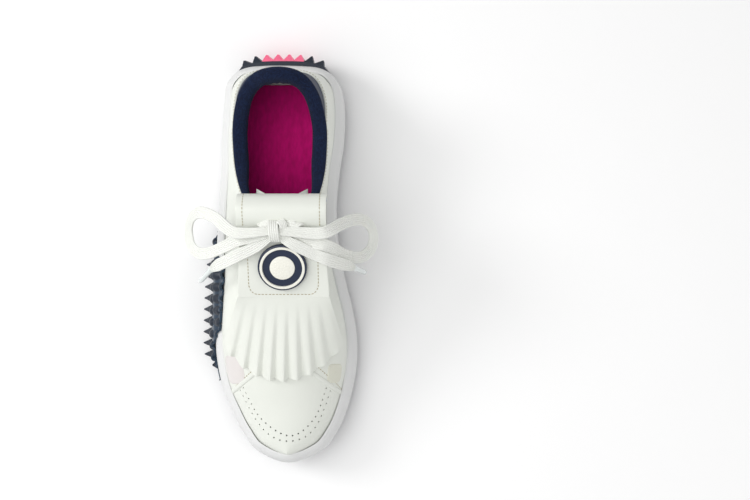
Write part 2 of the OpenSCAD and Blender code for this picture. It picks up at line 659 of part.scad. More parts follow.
module kiltie_fringe() {
    cols = 2 * pleats;
    bs = steps(0, 1, 6);
    color(white)
    skin([for (b = bs) [for (k = [0:cols]) fringe_point(2 * k / cols - 1, b, k, 0)]],
        [for (b = bs) [for (k = [0:cols]) fringe_point(2 * k / cols - 1, b, k, fringe_t)]]);
}

// ---- medallion ----
medallion_s = 152;
medallion_t = 3.4;
rivet_r = 1.9;
rivet_head_r = 3.5;
ring_r = 13.6;
ring_w = 1.6;
emblem_r = 8;
medallion_z = 92.2;
medallion_lean = 25.4;
// Local frame on the strap's outer face, z out of the leather
module on_medallion(lift) {
    translate(place([kiltie_x, medallion_s, medallion_z]))
    rotate([medallion_lean, 0, 0])
    translate([0, 0, lift])
    children();
}

module medallion_base() {
    color(navy)
    on_medallion(kiltie_t + 0.05)
    difference() {
        cylinder(d = medallion_d, h = medallion_t);
        translate([0, 0, medallion_t - 0.8])
        difference() {
            cylinder(r = ring_r + ring_w / 2 + 0.05, h = 2);
            translate([0, 0, -1]) cylinder(r = ring_r - ring_w / 2 - 0.05, h = 4);
        }
        translate([0, 0, medallion_t - 0.8]) cylinder(r = emblem_r + 0.05, h = 2);
        translate([0, 0, -1]) cylinder(r = rivet_r + 0.02, h = 2.6, $fn = 32);
    }
}

module medallion_ring() {
    color(white)
    on_medallion(kiltie_t + 0.05 + medallion_t - 0.8)
    difference() {
        cylinder(r = ring_r + ring_w / 2, h = 1.3);
        translate([0, 0, -1]) cylinder(r = ring_r - ring_w / 2, h = 4);
    }
}

module medallion_emblem() {
    color(white)
    on_medallion(kiltie_t + 0.05 + medallion_t - 0.8)
    cylinder(r = emblem_r, h = 1.3);
}

module medallion_rivet() {
    color("silver")
    on_medallion(0)
    union() {
        translate([0, 0, -1]) cylinder(r = rivet_head_r, h = 0.9, $fn = 32);
        translate([0, 0, -0.2]) cylinder(r = rivet_r, h = kiltie_t + 1.6, $fn = 32);
    }
}

// ---- laces ----
rung_w = 7;
rung_t = 1.2;
module lace_rungs() {
    color("white")
    for (s = EYELETS) {
        k0 = knot(0, eyelet_u(s));
        k1 = knot(1, eyelet_u(s));
        translate(place([(k0[2] + k1[2]) / 2, s, (k0[4] + k1[4]) / 2 + 1.9]))
        rotate([20, 0, 0])
        cube([k1[2] - k0[2] + 12, rung_w, rung_t], center = true);
    }
}

KNOT = [0.6, 130.5, 109.6];
module lace_knot() {
    color("white")
    hull() {
        translate(place(KNOT + [-2, 0, 0])) sphere(r = 3.4, $fn = 16);
        translate(place(KNOT + [2, 2.5, -1])) sphere(r = 3.4, $fn = 16);
    }
}

// Routes of the free lace, from the knot outwards and back
LOOP_LATERAL = [[-1, 129, 110], [-8, 129.6, 110.2], [-16, 130.4, 109.2], [-24, 130.2, 108],
    [-31, 126.6, 102.8], [-38, 121.8, 94.8], [-45, 118.2, 86], [-51.5, 116.6, 76.5],
    [-57, 118.5, 67], [-60.3, 123.5, 59.5], [-61, 130, 56], [-59.5, 136.5, 57],
    [-55.5, 141.2, 62], [-50, 143.2, 69.5], [-43.5, 143, 78], [-36.5, 141.2, 87],
    [-29.5, 139, 96], [-23.5, 137, 103.4], [-15, 135.2, 105], [-8, 134, 107.3],
    [-1, 132.5, 108.2]];
LOOP_MEDIAL = [[2, 129, 109.6], [9, 129.4, 110], [17, 130, 109.4], [25, 130.6, 108.6],
    [33.4, 130.4, 107.6], [40.5, 127, 100.5], [47, 123.4, 91], [53, 121.4, 80.5],
    [58, 122, 70.5], [61.6, 125.5, 62.5], [63, 132, 57.5], [61.5, 138.8, 57],
    [57.5, 143.5, 61], [52.5, 145.6, 68.5], [47, 145.2, 77.5], [42, 143.6, 87],
    [37.5, 141.4, 96.5], [32.5, 139.6, 102.4], [24, 137.6, 103.6], [16, 136, 105.2],
    [9.5, 134.4, 106.8], [3, 132.8, 108]];
TAIL_LATERAL = [[-1.5, 134, 107.2], [-8, 138.5, 104.4], [-15, 142.4, 101.6],
    [-22.4, 145.6, 99.4], [-29, 148.4, 93.6], [-35, 150.4, 86.6], [-39.8, 152, 79],
    [-43.5, 153.4, 71.5]];
TAIL_MEDIAL = [[4, 134, 107.2], [11, 138.4, 106.9], [18.5, 142, 104], [26, 145.4, 100.6],
    [33.4, 148.2, 98], [40, 150.2, 91.6], [45.8, 151.6, 84], [50.5, 152.8, 76]];
AGLET_END_LATERAL = [-53.5, 161, 54];
AGLET_END_MEDIAL = [57.5, 155, 58];

module lace_loop_lateral() {
    color("white") tube(LOOP_LATERAL, lace_d);
}

module lace_loop_medial() {
    color("white") tube(LOOP_MEDIAL, lace_d);
}

module lace_tail_lateral() {
    color("white") tube(TAIL_LATERAL, lace_d);
}

module lace_tail_medial() {
    color("white") tube(TAIL_MEDIAL, lace_d);
}

// Straight round rod between two points, starting a little beyond the first
module rod(from, to, r) {
    p = place(from);
    q = place(to);
    d = q - p;
    translate(p + 0.05 * unit(d))
    rotate([0, acos(d[2] / norm(d)), atan2(d[1], d[0])])
    cylinder(r = r, h = norm(d), $fn = 24);
}

module aglet_lateral() {
    color("white") rod(TAIL_LATERAL[7], AGLET_END_LATERAL, lace_d / 2);
}

module aglet_medial() {
    color("white") rod(TAIL_MEDIAL[7], AGLET_END_MEDIAL, lace_d / 2);
}

outsole();
heel_insert();
side_wing();
midsole_shell();
midsole_core();
shank();
insole_board();
insole_foam();
insole_cover();
quarter_lateral();
quarter_medial();
vamp();
toe_puff();
vamp_lining();
heel_counter();
heel_tab();
collar_lining();
collar_foam();
eyestay_lateral();
eyestay_medial();
label_lateral();
label_medial();
tongue();
tongue_padding();
kiltie_strap();
kiltie_lining();
kiltie_fringe();
medallion_base();
medallion_ring();
medallion_emblem();
medallion_rivet();
lace_rungs();
lace_knot();
lace_loop_lateral();
lace_loop_medial();
lace_tail_lateral();
lace_tail_medial();
aglet_lateral();
aglet_medial();
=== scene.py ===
"""A right-foot spikeless golf shoe with a kiltie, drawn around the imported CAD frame."""
import math

import bmesh
import bpy
import numpy as np
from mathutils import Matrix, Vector
from mathutils.bvhtree import BVHTree


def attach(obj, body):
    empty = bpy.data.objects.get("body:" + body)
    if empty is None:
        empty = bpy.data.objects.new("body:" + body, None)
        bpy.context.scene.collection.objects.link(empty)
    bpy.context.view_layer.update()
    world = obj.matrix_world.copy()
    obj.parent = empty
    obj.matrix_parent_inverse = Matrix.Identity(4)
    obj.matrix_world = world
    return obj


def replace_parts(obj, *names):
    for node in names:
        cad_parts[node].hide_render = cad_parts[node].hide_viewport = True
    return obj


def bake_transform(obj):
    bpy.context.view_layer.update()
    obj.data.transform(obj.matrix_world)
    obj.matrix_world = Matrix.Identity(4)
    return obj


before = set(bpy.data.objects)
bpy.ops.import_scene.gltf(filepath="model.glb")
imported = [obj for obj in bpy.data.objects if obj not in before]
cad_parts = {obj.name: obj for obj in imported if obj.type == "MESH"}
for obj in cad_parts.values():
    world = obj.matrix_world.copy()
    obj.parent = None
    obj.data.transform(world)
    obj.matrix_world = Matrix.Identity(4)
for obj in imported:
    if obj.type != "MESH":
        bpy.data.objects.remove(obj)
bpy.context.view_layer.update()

# ---------------------------------------------------------------- design
# Design points are [x, s, z] in millimetres: x towards the medial side, s from the heel
# spikes to the toe tip, z up. place() turns them into the frame's metres.
SHOE_L = 285.0
MID_X = -3.7
PLATE_T = 3.0
STUD_H = 4.6
LEATHER_T = 1.3

LATERAL = [[0, 6.5, 2, 25, 103], [-14, 7, -9, 26.5, 101.5], [-25, 9, -17, 30.5, 97.5],
    [-34, 14, -23.5, 38, 92], [-40.8, 23.5, -27.5, 48, 86], [-42.4, 40, -30, 60, 77.5],
    [-43.8, 62, -30, 72, 74.5], [-44.2, 84, -28, 88, 77.5], [-45.5, 104, -23.5, 103, 84.5],
    [-46.6, 122, -16, 119, 92], [-47.5, 140, -10.5, 138, 86], [-48.2, 160, -8, 158, 79.5],
    [-48.8, 180, -6, 180, 72.5], [-48.8, 200, -2, 201, 66.5], [-46.5, 219, 3.2, 216, 62.5],
    [-42.6, 235, 3.6, 231, 57.5], [-36, 249.5, 4, 244, 52.8], [-28.4, 263.5, 4.4, 256, 49.6],
    [-17.2, 277, 4.6, 266, 47], [4.6, 285, 4.6, 276, 44]]
MEDIAL = [[0, 6.5, 2, 25, 103], [14, 7.2, 13, 26.5, 101.5], [25, 9.2, 21, 31, 97.5],
    [34, 14.5, 27, 39, 92], [40.8, 24.5, 30.5, 49, 86.5], [42.8, 41, 32.5, 61, 79],
    [42, 62, 32.5, 74, 76], [38.8, 84, 31.5, 89, 79], [37, 104, 28.5, 104, 86],
    [37.2, 122, 22.5, 119, 92.5], [39.5, 140, 18, 138, 86], [43.5, 160, 15, 158, 79.5],
    [48.5, 180, 12.5, 180, 72.5], [51.4, 199, 8.5, 201, 66.5], [51.2, 218, 3.2, 216, 62.5],
    [48.6, 234, 3.6, 231, 57.5], [44.4, 249.5, 4, 244, 52.8], [38.2, 263.5, 4.4, 256, 49.6],
    [27.2, 277, 4.6, 266, 47], [4.6, 285, 4.6, 276, 44]]
LAST = len(LATERAL) - 1
THROAT_END = 13
ROUND = [np.array([MEDIAL[1]] + LATERAL + [MEDIAL[-2]], float),
         np.array([LATERAL[1]] + MEDIAL + [LATERAL[-2]], float)]
MIDSOLE_TOP = [[0, 43.5], [17, 42.5], [30, 41.5], [56, 39.8], [91, 37.8], [127, 35], [143, 33.5],
    [170, 31], [199, 28.6], [217, 28.3], [233, 29.5], [246, 31.2], [260, 33.4], [270, 35.5],
    [285, 38.5]]
BOARD_TOP = [[0, 26], [60, 25], [110, 22], [150, 19], [200, 17.5], [230, 19], [260, 23.5],
    [285, 28.5]]
# Inset of the midsole's wall by height: rounded at the toe, creased along the rear
WALL_ROUND = [[0, 1.4], [0.2, 0], [0.5, 0.9], [0.8, 2.6], [0.93, 4.3], [1, 6]]
WALL_CREASED = [[0, 1.4], [0.2, 0], [0.5, 0.5], [0.76, 1.3], [0.8, 1.6], [0.9, 3.6], [1, 6]]
HEEL_INSET = 1.5
FEATHER = 6.3
VAMP_EDGE = [[12.9, 1.0], [13.1, 0.975], [13.6, 0.92], [14.3, 0.72], [15, 0.4], [15.5, 0.03],
    [19, 0]]
TAB_EDGE = [[0.3, 56], [0.5, 63], [0.9, 67], [2, 69], [3, 70], [4, 72.5], [4.7, 78], [5, 82]]
TAB_END = 5
COLLAR_V = 0.955
EYELETS = [122.5, 136, 150, 164, 178, 191]
EYELET_V = 0.86


def place(points):
    p = np.asarray(points, float)
    return np.stack([p[..., 0] - MID_X, SHOE_L / 2 - p[..., 1], p[..., 2]], -1) / 1000


def lerp(a, b, t):
    return a + (b - a) * t


def smooth(t):
    t = np.clip(t, 0, 1)
    return t * t * (3 - 2 * t)


def unit(v):
    return v / np.maximum(np.linalg.norm(v, axis=-1, keepdims=True), 1e-9)


def curve4(a, b, c, d, t):
    return 0.5 * (2 * b + (c - a) * t + (2 * a - 5 * b + 4 * c - d) * t * t
                  + (3 * b - a - 3 * c + d) * t * t * t)


def spline(rows, t):
    """Catmull-Rom curve through the rows, t = 0 at the first row."""
    rows = np.asarray(rows, float)
    n = len(rows) - 1
    t = np.asarray(t, float)
    i = np.clip(np.floor(t).astype(int), 0, n - 1)
    f = (t - i)[..., None]
    return curve4(rows[np.maximum(i - 1, 0)], rows[i], rows[i + 1], rows[np.minimum(i + 2, n)], f)


def lookup(x, table):
    """Smooth curve through a table of [x, y], without overshoot at its ends."""
    table = np.asarray(table, float)
    xs, ys = table[:, 0], table[:, 1]
    x = np.clip(np.asarray(x, float), xs[0], xs[-1])
    secant = np.diff(ys) / np.diff(xs)
    inner = np.where(secant[1:] * secant[:-1] > 0, 2 * secant[1:] * secant[:-1]
                     / np.where(secant[1:] + secant[:-1] == 0, 1, secant[1:] + secant[:-1]), 0)
    slope = np.concatenate([[secant[0]], inner, [secant[-1]]])
    i = np.clip(np.searchsorted(xs, x, side="right") - 1, 0, len(xs) - 2)
    h = xs[i + 1] - xs[i]
    t = (x - xs[i]) / h
    return ((2 * t**3 - 3 * t**2 + 1) * ys[i] + (t**3 - 2 * t**2 + t) * h * slope[i]
            + (3 * t**2 - 2 * t**3) * ys[i + 1] + (t**3 - t**2) * h * slope[i + 1])


def knot(side, u):
    return spline(ROUND[side], np.asarray(u, float) + 1)


def ground(s):
    toe = 12 * (np.maximum(s - 222, 0) / 57) ** 1.6
    return toe + 2 * (np.maximum(25 - s, 0) / 17) ** 2


def wall_foot(s):
    return ground(s) + STUD_H + PLATE_T + 0.1


def heel_factor(u):
    return lerp(HEEL_INSET, 1, smooth(np.asarray(u) / 3))


def inward(side, u):
    u = np.asarray(u, float)
    a, b = (knot(side, np.clip(u + step, -0.5, LAST + 0.5)) for step in (-0.05, 0.05))
    d = np.stack([b[..., 1] - a[..., 1], a[..., 0] - b[..., 0]], -1)
    return unit(d) * (1 if side == 0 else -1)


def inset(side, u, d):
    return knot(side, u)[..., :2] + inward(side, u) * np.asarray(d)[..., None]


def wall(side, u, f, out=0.0):
    """Point on the midsole's wall: f = 0 at its foot, 1 at its top edge."""
    crease = smooth((u - 1.2) / 2.5) * smooth((11.5 - u) / 2)
    d = lerp(lookup(f, WALL_ROUND), lookup(f, WALL_CREASED), crease) * heel_factor(u) - out
    s = knot(side, u)[..., 1]
    p = inset(side, u, d)
    return np.concatenate([p, lerp(wall_foot(s), lookup(s, MIDSOLE_TOP), f)[..., None]], -1)


def ridge_slope(u):
    """Slope of the ridge in front of the throat; its two samples never fall on one point."""
    ahead = np.minimum(LAST, u + 0.2)
    ahead = np.where(ahead < THROAT_END + 0.01, THROAT_END + 0.01, ahead)
    a, b = knot(0, np.maximum(THROAT_END, u - 0.2)), knot(0, ahead)
    return (b[..., 4] - a[..., 4]) / (b[..., 3] - a[..., 3])


def upper(side, u, v):
    """Point on the upper's outer face: u from heel to toe, v from the footbed up."""
    u, v = np.broadcast_arrays(np.asarray(u, float), np.asarray(v, float))
    k = knot(side, u)
    foot = np.concatenate([inset(side, u, FEATHER * heel_factor(u)),
                           (lookup(k[..., 1], BOARD_TOP) + 0.2)[..., None]], -1)
    top = k[..., 2:5]
    w = smooth((u - 9.5) / 3.5)
    rise = top - foot
    low = foot + np.stack([0 * u, 0 * u, lerp(0.5, 0.62, w) * rise[..., 2]], -1)
    over = lerp(0.1, 0.55, w)
    level = lerp(0.3 * rise[..., 2], over * rise[..., 1] * ridge_slope(u), w)
    high = top - np.stack([over * rise[..., 0], over * rise[..., 1], level], -1)
    c, v = (1 - v)[..., None], v[..., None]
    return c**3 * foot + 3 * c * c * v * low + 3 * c * v * v * high + v**3 * top


def normal(side, u, v):
    u, v = np.broadcast_arrays(np.asarray(u, float), np.asarray(v, float))
    e = 0.03
    du = upper(side, np.minimum(LAST, u + e), v) - upper(side, np.maximum(0, u - e), v)
    dv = upper(side, u, np.minimum(1, v + e)) - upper(side, u, np.maximum(0, v - e))
    n = -np.cross(du, dv) * (1 if side == 0 else -1)
    seam = (u < 0.01) | (u > LAST - 0.01) | ((v > 0.99) & (u > 13.9))
    n[..., 0] = np.where(seam, 0, n[..., 0])
    return unit(n)


def layer(side, u, v, depth=0.0):
    """Point at a depth below the upper's outer face."""
    return upper(side, u, v) - normal(side, u, v) * np.asarray(depth, float)[..., None]


def v_at(side, u, z):
    lo, hi = np.zeros(np.shape(u)), np.ones(np.shape(u))
    for _ in range(16):
        m = (lo + hi) / 2
        below = upper(side, u, m)[..., 2] < z
        lo, hi = np.where(below, m, lo), np.where(below, hi, m)
    return (lo + hi) / 2


def round_heel(w, v, depth=0.0):
    """The same surface with w running from the medial side (< 0) round the heel."""
    w, v = np.broadcast_arrays(np.asarray(w, float), np.asarray(v, float))
    depth = np.broadcast_to(depth, w.shape)
    u = np.abs(w)
    return np.where((w < 0)[..., None], layer(1, u, v, depth), layer(0, u, v, depth))


# ---------------------------------------------------------------- materials
def srgb(r, g, b):
    return tuple(c / 12.92 if c < 0.04045 else ((c + 0.055) / 1.055) ** 2.4 for c in (r, g, b))


class Shader:
    """A Principled material whose colour, roughness and bump come from procedural nodes."""

    def __init__(self, name, rough, **constants):
        self.material = bpy.data.materials.new(name)
        self.material.use_nodes = True
        self.tree = self.material.node_tree
        self.bsdf = self.tree.nodes["Principled BSDF"]
        self.coords = self.tree.nodes.new("ShaderNodeTexCoord")
        self.normal = None
        self.bsdf.inputs["Roughness"].default_value = rough
        self.rough = rough
        for key, value in constants.items():
            self.bsdf.inputs[key.replace("_", " ")].default_value = value

    def node(self, kind, inputs=None, **settings):
        n = self.tree.nodes.new(kind)
        for key, value in settings.items():
            setattr(n, key, value)
        for key, value in (inputs or {}).items():
            if hasattr(value, "node"):
                self.tree.links.new(value, n.inputs[key])
            else:
                n.inputs[key].default_value = value
        return n

    def noise(self, scale, detail=3, stretch=(1, 1, 1)):
        vector = self.coords.outputs["Object"]
        if stretch != (1, 1, 1):
            vector = self.node("ShaderNodeVectorMath", {0: vector, 1: stretch},
                               operation="MULTIPLY").outputs[0]
        return self.node("ShaderNodeTexNoise", {"Vector": vector, "Scale": scale,
                                                "Detail": detail}).outputs["Fac"]

    def cells(self, scale):
        inputs = {"Vector": self.coords.outputs["Object"], "Scale": scale}
        return self.node("ShaderNodeTexVoronoi", inputs).outputs["Distance"]

    def mix(self, fac, a, b):
        m = self.node("ShaderNodeMix", {0: fac, 6: a if hasattr(a, "node") else (*a, 1),
                                        7: b if hasattr(b, "node") else (*b, 1)}, data_type="RGBA")
        return m.outputs[2]

    def colour(self, source):
        self.tree.links.new(source, self.bsdf.inputs["Base Color"])

    def mottle(self, colour, amount, scale, detail=4):
        """Base colour that drifts a little lighter and darker."""
        dark = tuple(c * (1 - amount) for c in colour)
        light = tuple(min(1, c * (1 + amount)) for c in colour)
        result = self.mix(self.noise(scale, detail), dark, light)
        self.colour(result)
        return result

    def vary_rough(self, spread, scale):
        span = self.node("ShaderNodeMapRange", {"Value": self.noise(scale, 2),
            "To Min": self.rough - spread, "To Max": self.rough + spread})
        self.tree.links.new(span.outputs[0], self.bsdf.inputs["Roughness"])

    def bump(self, height, strength, distance):
        inputs = {"Height": height, "Strength": strength, "Distance": distance}
        if self.normal is not None:
            inputs["Normal"] = self.normal
        self.normal = self.node("ShaderNodeBump", inputs).outputs[0]
        self.tree.links.new(self.normal, self.bsdf.inputs["Normal"])


def leather(name, colour, rough=0.5, grain=1.0, sheen=0.06):
    m = Shader(name, rough, Specular_IOR_Level=0.3, Sheen_Weight=sheen, Sheen_Roughness=0.5)
    m.mottle(colour, 0.018, 90)
    m.vary_rough(0.05, 240)
    m.bump(m.cells(1500), 0.22 * grain, 0.00012)
    m.bump(m.noise(520, 5), 0.16 * grain, 0.0003)
    m.bump(m.noise(70, 2), 0.10, 0.0008)
    return m.material


def rubber(name, colour, light, rough=0.42):
    m = Shader(name, rough, Specular_IOR_Level=0.5)
    wear = m.noise(900, 5)
    m.colour(m.mix(wear, colour, light))
    m.vary_rough(0.09, 400)
    m.bump(m.noise(2600, 3), 0.18, 0.00008)
    return m.material


def foam(name, colour, rough=0.6):
    m = Shader(name, rough, Specular_IOR_Level=0.35)
    m.mottle(colour, 0.014, 60)
    m.vary_rough(0.05, 120)
    m.bump(m.cells(1900), 0.10, 0.00008)
    m.bump(m.noise(240, 4), 0.08, 0.0003)
    return m.material


def knit(name, yarn, gap_shade, highlight, stitch=1.15, rough=0.85):
    """Knitted mesh: rows of short stitches in the piece's own millimetre UVs, with painted shade in the
    gaps between stitches and a painted highlight on some stitches.
    """
    m = Shader(name, rough, Sheen_Weight=0.05, Sheen_Roughness=0.4, Specular_IOR_Level=0.2)
    # Mortar is painted shade between the stitches; Color2 is a painted highlight on some stitches
    tiles = m.node("ShaderNodeTexBrick", {"Vector": m.coords.outputs["UV"], "Scale": 1.0,
        "Mortar Size": 0.13, "Mortar Smooth": 0.9, "Brick Width": stitch,
        "Row Height": stitch * 0.56, "Color1": (*yarn, 1), "Color2": (*highlight, 1),
        "Mortar": (*gap_shade, 1)}, offset=0.5)
    m.colour(m.mix(m.noise(420, 3), tiles.outputs["Color"], yarn))
    inverted = m.node("ShaderNodeMath", {0: 1.0, 1: tiles.outputs["Fac"]}, operation="SUBTRACT")
    m.bump(inverted.outputs[0], 0.7, 0.00035)
    m.bump(m.noise(1800, 3), 0.25, 0.0001)
    m.vary_rough(0.06, 300)
    return m.material


def woven(name, colour, shade, pitch=0.62, rough=0.78):
    """Flat woven tape: a fine diagonal weave in the piece's own millimetre UVs."""
    m = Shader(name, rough, Sheen_Weight=0.12, Sheen_Roughness=0.5, Specular_IOR_Level=0.25)
    heights = []
    for turn in (1, -1):
        turned = m.node("ShaderNodeMapping", {"Vector": m.coords.outputs["UV"],
                                              "Rotation": (0, 0, turn * math.radians(38))})
        wave = m.node("ShaderNodeTexWave", {"Vector": turned.outputs[0],
            "Scale": 0.314 / pitch, "Distortion": 0.4, "Detail": 1.0}, wave_type="BANDS")
        heights.append(wave.outputs["Fac"])
    both = m.node("ShaderNodeMath", {0: heights[0], 1: heights[1]}, operation="MULTIPLY").outputs[0]
    m.colour(m.mix(both, shade, colour))
    m.bump(both, 0.16, 0.0002)
    m.bump(m.noise(1500, 3), 0.2, 0.0001)
    m.vary_rough(0.05, 300)
    return m.material


def brushed(name, colour, dark, rough=0.9, scale=500):
    """Brushed or suede face with short fibres and softly lighter patches."""
    m = Shader(name, rough, Sheen_Weight=0.3, Sheen_Roughness=0.45, Specular_IOR_Level=0.2)
    m.colour(m.mix(m.noise(scale, 6, stretch=(1, 0.35, 1)), dark, colour))
    m.bump(m.noise(scale * 2.6, 4, stretch=(1, 0.4, 1)), 0.4, 0.0002)
    m.vary_rough(0.05, 200)
    return m.material


def plain(name, colour, rough, amount=0.05, scale=300, **constants):
    m = Shader(name, rough, **constants)
    m.mottle(colour, amount, scale)
    m.vary_rough(0.05, scale)
    m.bump(m.noise(scale * 5, 3), 0.12, 0.0001)
    return m.material


WHITE = leather("leather_white", srgb(0.89, 0.90, 0.87))
SLATE = leather("leather_slate", srgb(0.175, 0.205, 0.285), rough=0.55, grain=0.6, sheen=0.0)
NAVY = rubber("rubber_navy", srgb(0.055, 0.095, 0.155), srgb(0.085, 0.135, 0.20))
WING = rubber("rubber_wing", srgb(0.10, 0.175, 0.25), srgb(0.135, 0.225, 0.305), rough=0.36)
PINK = rubber("rubber_pink", srgb(0.97, 0.36, 0.52), srgb(1.0, 0.48, 0.62), rough=0.45)
MIDSOLE = foam("midsole_foam", srgb(0.868, 0.87, 0.868))
CORE = foam("core_foam", srgb(0.85, 0.85, 0.83), rough=0.8)
# Third colour: painted shade in the stitch gaps; fourth: painted highlight on some stitches
KNIT = knit("knit_navy", srgb(0.05, 0.09, 0.19), srgb(0.006, 0.01, 0.03), srgb(0.12, 0.20, 0.36))
LACE = woven("lace_white", srgb(0.965, 0.97, 0.95), srgb(0.89, 0.895, 0.875))
INSOLE = brushed("insole_fabric", srgb(0.97, 0.08, 0.56), srgb(0.74, 0.03, 0.40))
SUEDE = brushed("kiltie_backing", srgb(0.76, 0.77, 0.86), srgb(0.62, 0.63, 0.73))
LINING = brushed("lining_fabric", srgb(0.80, 0.80, 0.80), srgb(0.68, 0.68, 0.68))
BOARD = plain("fibre_board", srgb(0.72, 0.62, 0.45), 0.8)
SHANK = plain("shank_plastic", srgb(0.22, 0.22, 0.24), 0.4)
LABEL = plain("label_film", srgb(0.86, 0.84, 0.83), 0.36, amount=0.02)
LABEL_CREAM = leather("label_leather", srgb(0.86, 0.86, 0.805), rough=0.55)
PUFF = plain("puff_board", srgb(0.30, 0.28, 0.25), 0.9)
BADGE_NAVY = rubber("medallion_navy", srgb(0.105, 0.145, 0.235), srgb(0.13, 0.175, 0.27), rough=0.38)
BADGE_WHITE = plain("medallion_white", srgb(0.93, 0.925, 0.885), 0.42, amount=0.015)
STEEL = plain("rivet_steel", srgb(0.62, 0.62, 0.62), 0.35, Metallic=1.0)
AGLET = plain("aglet_film", srgb(0.86, 0.885, 0.88), 0.22, amount=0.02, Coat_Weight=0.6)
THREAD = woven("stitch_thread", srgb(0.80, 0.77, 0.66), srgb(0.62, 0.58, 0.46), pitch=0.3)


# ---------------------------------------------------------------- mesh helpers
def make(name, points, faces, material, body="shoe", uv=None, angle=38, slot=None):
    """A piece from points in the frame's metres. uv gives one millimetre pair per point."""
    mesh = bpy.data.meshes.new(name)
    mesh.from_pydata(np.asarray(points).tolist(), [], faces)
    mesh.validate()
    if uv is not None:
        layer_uv = mesh.uv_layers.new(name="UVMap")
        index = np.empty(len(mesh.loops), dtype=np.int32)
        mesh.loops.foreach_get("vertex_index", index)
        layer_uv.data.foreach_set("uv", np.asarray(uv, np.float32)[index].ravel())
    mesh.materials.append(material)
    obj = bpy.data.objects.new(name, mesh)
    bpy.context.scene.collection.objects.link(obj)
    soften(obj, angle)
    if body:
        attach(obj, body)
    return obj


def soften(obj, angle):
    obj.data.shade_smooth()
    obj.data.set_sharp_from_angle(angle=math.radians(angle))


def apply_modifiers(obj, angle=38):
    graph = bpy.context.evaluated_depsgraph_get()
    mesh = bpy.data.meshes.new_from_object(obj.evaluated_get(graph))
    old = obj.data
    obj.modifiers.clear()
    obj.data = mesh
    bpy.data.meshes.remove(old)
    soften(obj, angle)


def arc_uv(grid):
    """Millimetre UVs of a grid of design points, from the lengths along its rows."""
    du = np.linalg.norm(np.diff(grid, axis=0), axis=-1)
    dv = np.linalg.norm(np.diff(grid, axis=1), axis=-1)
    u = np.concatenate([np.zeros((1, grid.shape[1])), np.cumsum(du, 0)])
    v = np.concatenate([np.zeros((grid.shape[0], 1)), np.cumsum(dv, 1)], 1)
    u = np.repeat(u.mean(1, keepdims=True), grid.shape[1], 1)
    return np.stack([u, v], -1)


def quads(n, m, close_rows=False, close_cols=False):
    rows = range(n if close_rows else n - 1)
    cols = range(m if close_cols else m - 1)
    return [(i * m + j, i * m + (j + 1) % m, (i + 1) % n * m + (j + 1) % m, (i + 1) % n * m + j)
            for i in rows for j in cols]


def capped_tube(n, m):
    """Faces of n rings of m points each, closed by a cap at both ends."""
    caps = [tuple(range(m)), tuple((n - 1) * m + k for k in range(m - 1, -1, -1))]
    return [f[::-1] for f in quads(n, m, close_cols=True)] + caps


def sheet(name, grid, material, thick=None, bevel=0.3, out=None, weld=False, **options):
    """A grid of design points made into a leather-like sheet of a thickness, in mm. The
    grid is its outer face; out is a direction that face looks in, or None for away from
    the shoe's middle."""
    grid = np.asarray(grid, float)
    n, m = grid.shape[:2]
    flat = grid.reshape(-1, 3)
    faces = quads(n, m)
    a, b, c, d = (flat[[f[k] for f in faces]] for k in range(4))
    face_normal = np.cross(c - a, d - b)
    middle = (a + c) / 2
    away = middle - np.array([2.0, 0, 30.0]) if out is None else np.broadcast_to(out, middle.shape)
    away = away * np.array([1, 0 if out is None else 1, 1])
    # place() mirrors s, so a face that looks out in the design looks in once placed
    if np.sum(face_normal * away) > 0:
        faces = [f[::-1] for f in faces]
    obj = make(name, place(flat), faces, material, uv=arc_uv(grid).reshape(-1, 2), **options)
    if weld:
        work = bmesh.new()
        work.from_mesh(obj.data)
        bmesh.ops.remove_doubles(work, verts=work.verts, dist=0.00004)
        work.to_mesh(obj.data)
        work.free()
    if thick:
        solid = obj.modifiers.new("solid", "SOLIDIFY")
        solid.thickness = thick / 1000
        solid.offset = -1
        solid.use_even_offset = False
        solid.use_quality_normals = True
        if bevel:
            edge = obj.modifiers.new("edge", "BEVEL")
            edge.width = bevel / 1000
            edge.segments = 2
            edge.limit_method = "ANGLE"
            edge.angle_limit = math.radians(55)
        apply_modifiers(obj)
    return obj


def cylinders(name, centres, axes, radii, length, sides=14):
    """One mesh of separate closed rods, in design millimetres, used as a cutter."""
    points, faces = [], []
    for centre, axis, radius in zip(centres, axes, radii):
        axis = unit(np.asarray(axis, float))
        a = unit(np.cross(axis, [0.31, 0.2, 0.93] if abs(axis[2]) < 0.9 else [1.0, 0, 0]))
        b = np.cross(axis, a)
        start = len(points)
        for end in (-1, 1):
            for k in range(sides):
                t = 2 * math.pi * k / sides
                points.append(centre + axis * end * length / 2
                              + radius * (a * math.cos(t) + b * math.sin(t)))
        for k in range(sides):
            q = (k + 1) % sides
            faces.append((start + k, start + sides + k, start + sides + q, start + q))
        faces.append(tuple(start + k for k in range(sides)))
        faces.append(tuple(start + sides + k for k in range(sides - 1, -1, -1)))
    mesh = bpy.data.meshes.new(name)
    mesh.from_pydata(place(np.array(points)).tolist(), [], faces)
    obj = bpy.data.objects.new(name, mesh)
    bpy.context.scene.collection.objects.link(obj)
    return closed(obj)


def punch(obj, centres, axes, radii, length=9.0, sides=14):
    """Cuts round holes through a piece."""
    cutter = cylinders("punch", centres, axes, radii, length, sides)
    before = len(obj.data.polygons)
    for solver in ("MANIFOLD", "EXACT"):
        cut = obj.modifiers.new("cut", "BOOLEAN")
        cut.object = cutter
        cut.solver = solver
        graph = bpy.context.evaluated_depsgraph_get()
        count = len(obj.evaluated_get(graph).data.polygons)
        if count > before:
            apply_modifiers(obj)
            break
        obj.modifiers.clear()
    data = cutter.data
    bpy.data.objects.remove(cutter)
    bpy.data.meshes.remove(data)


def join(objects, name):
    """Joins pieces that share a body into one."""
    with bpy.context.temp_override(active_object=objects[0], object=objects[0],
                                   selected_objects=objects, selected_editable_objects=objects):
        bpy.ops.object.join()
    objects[0].name = name
    return objects[0]


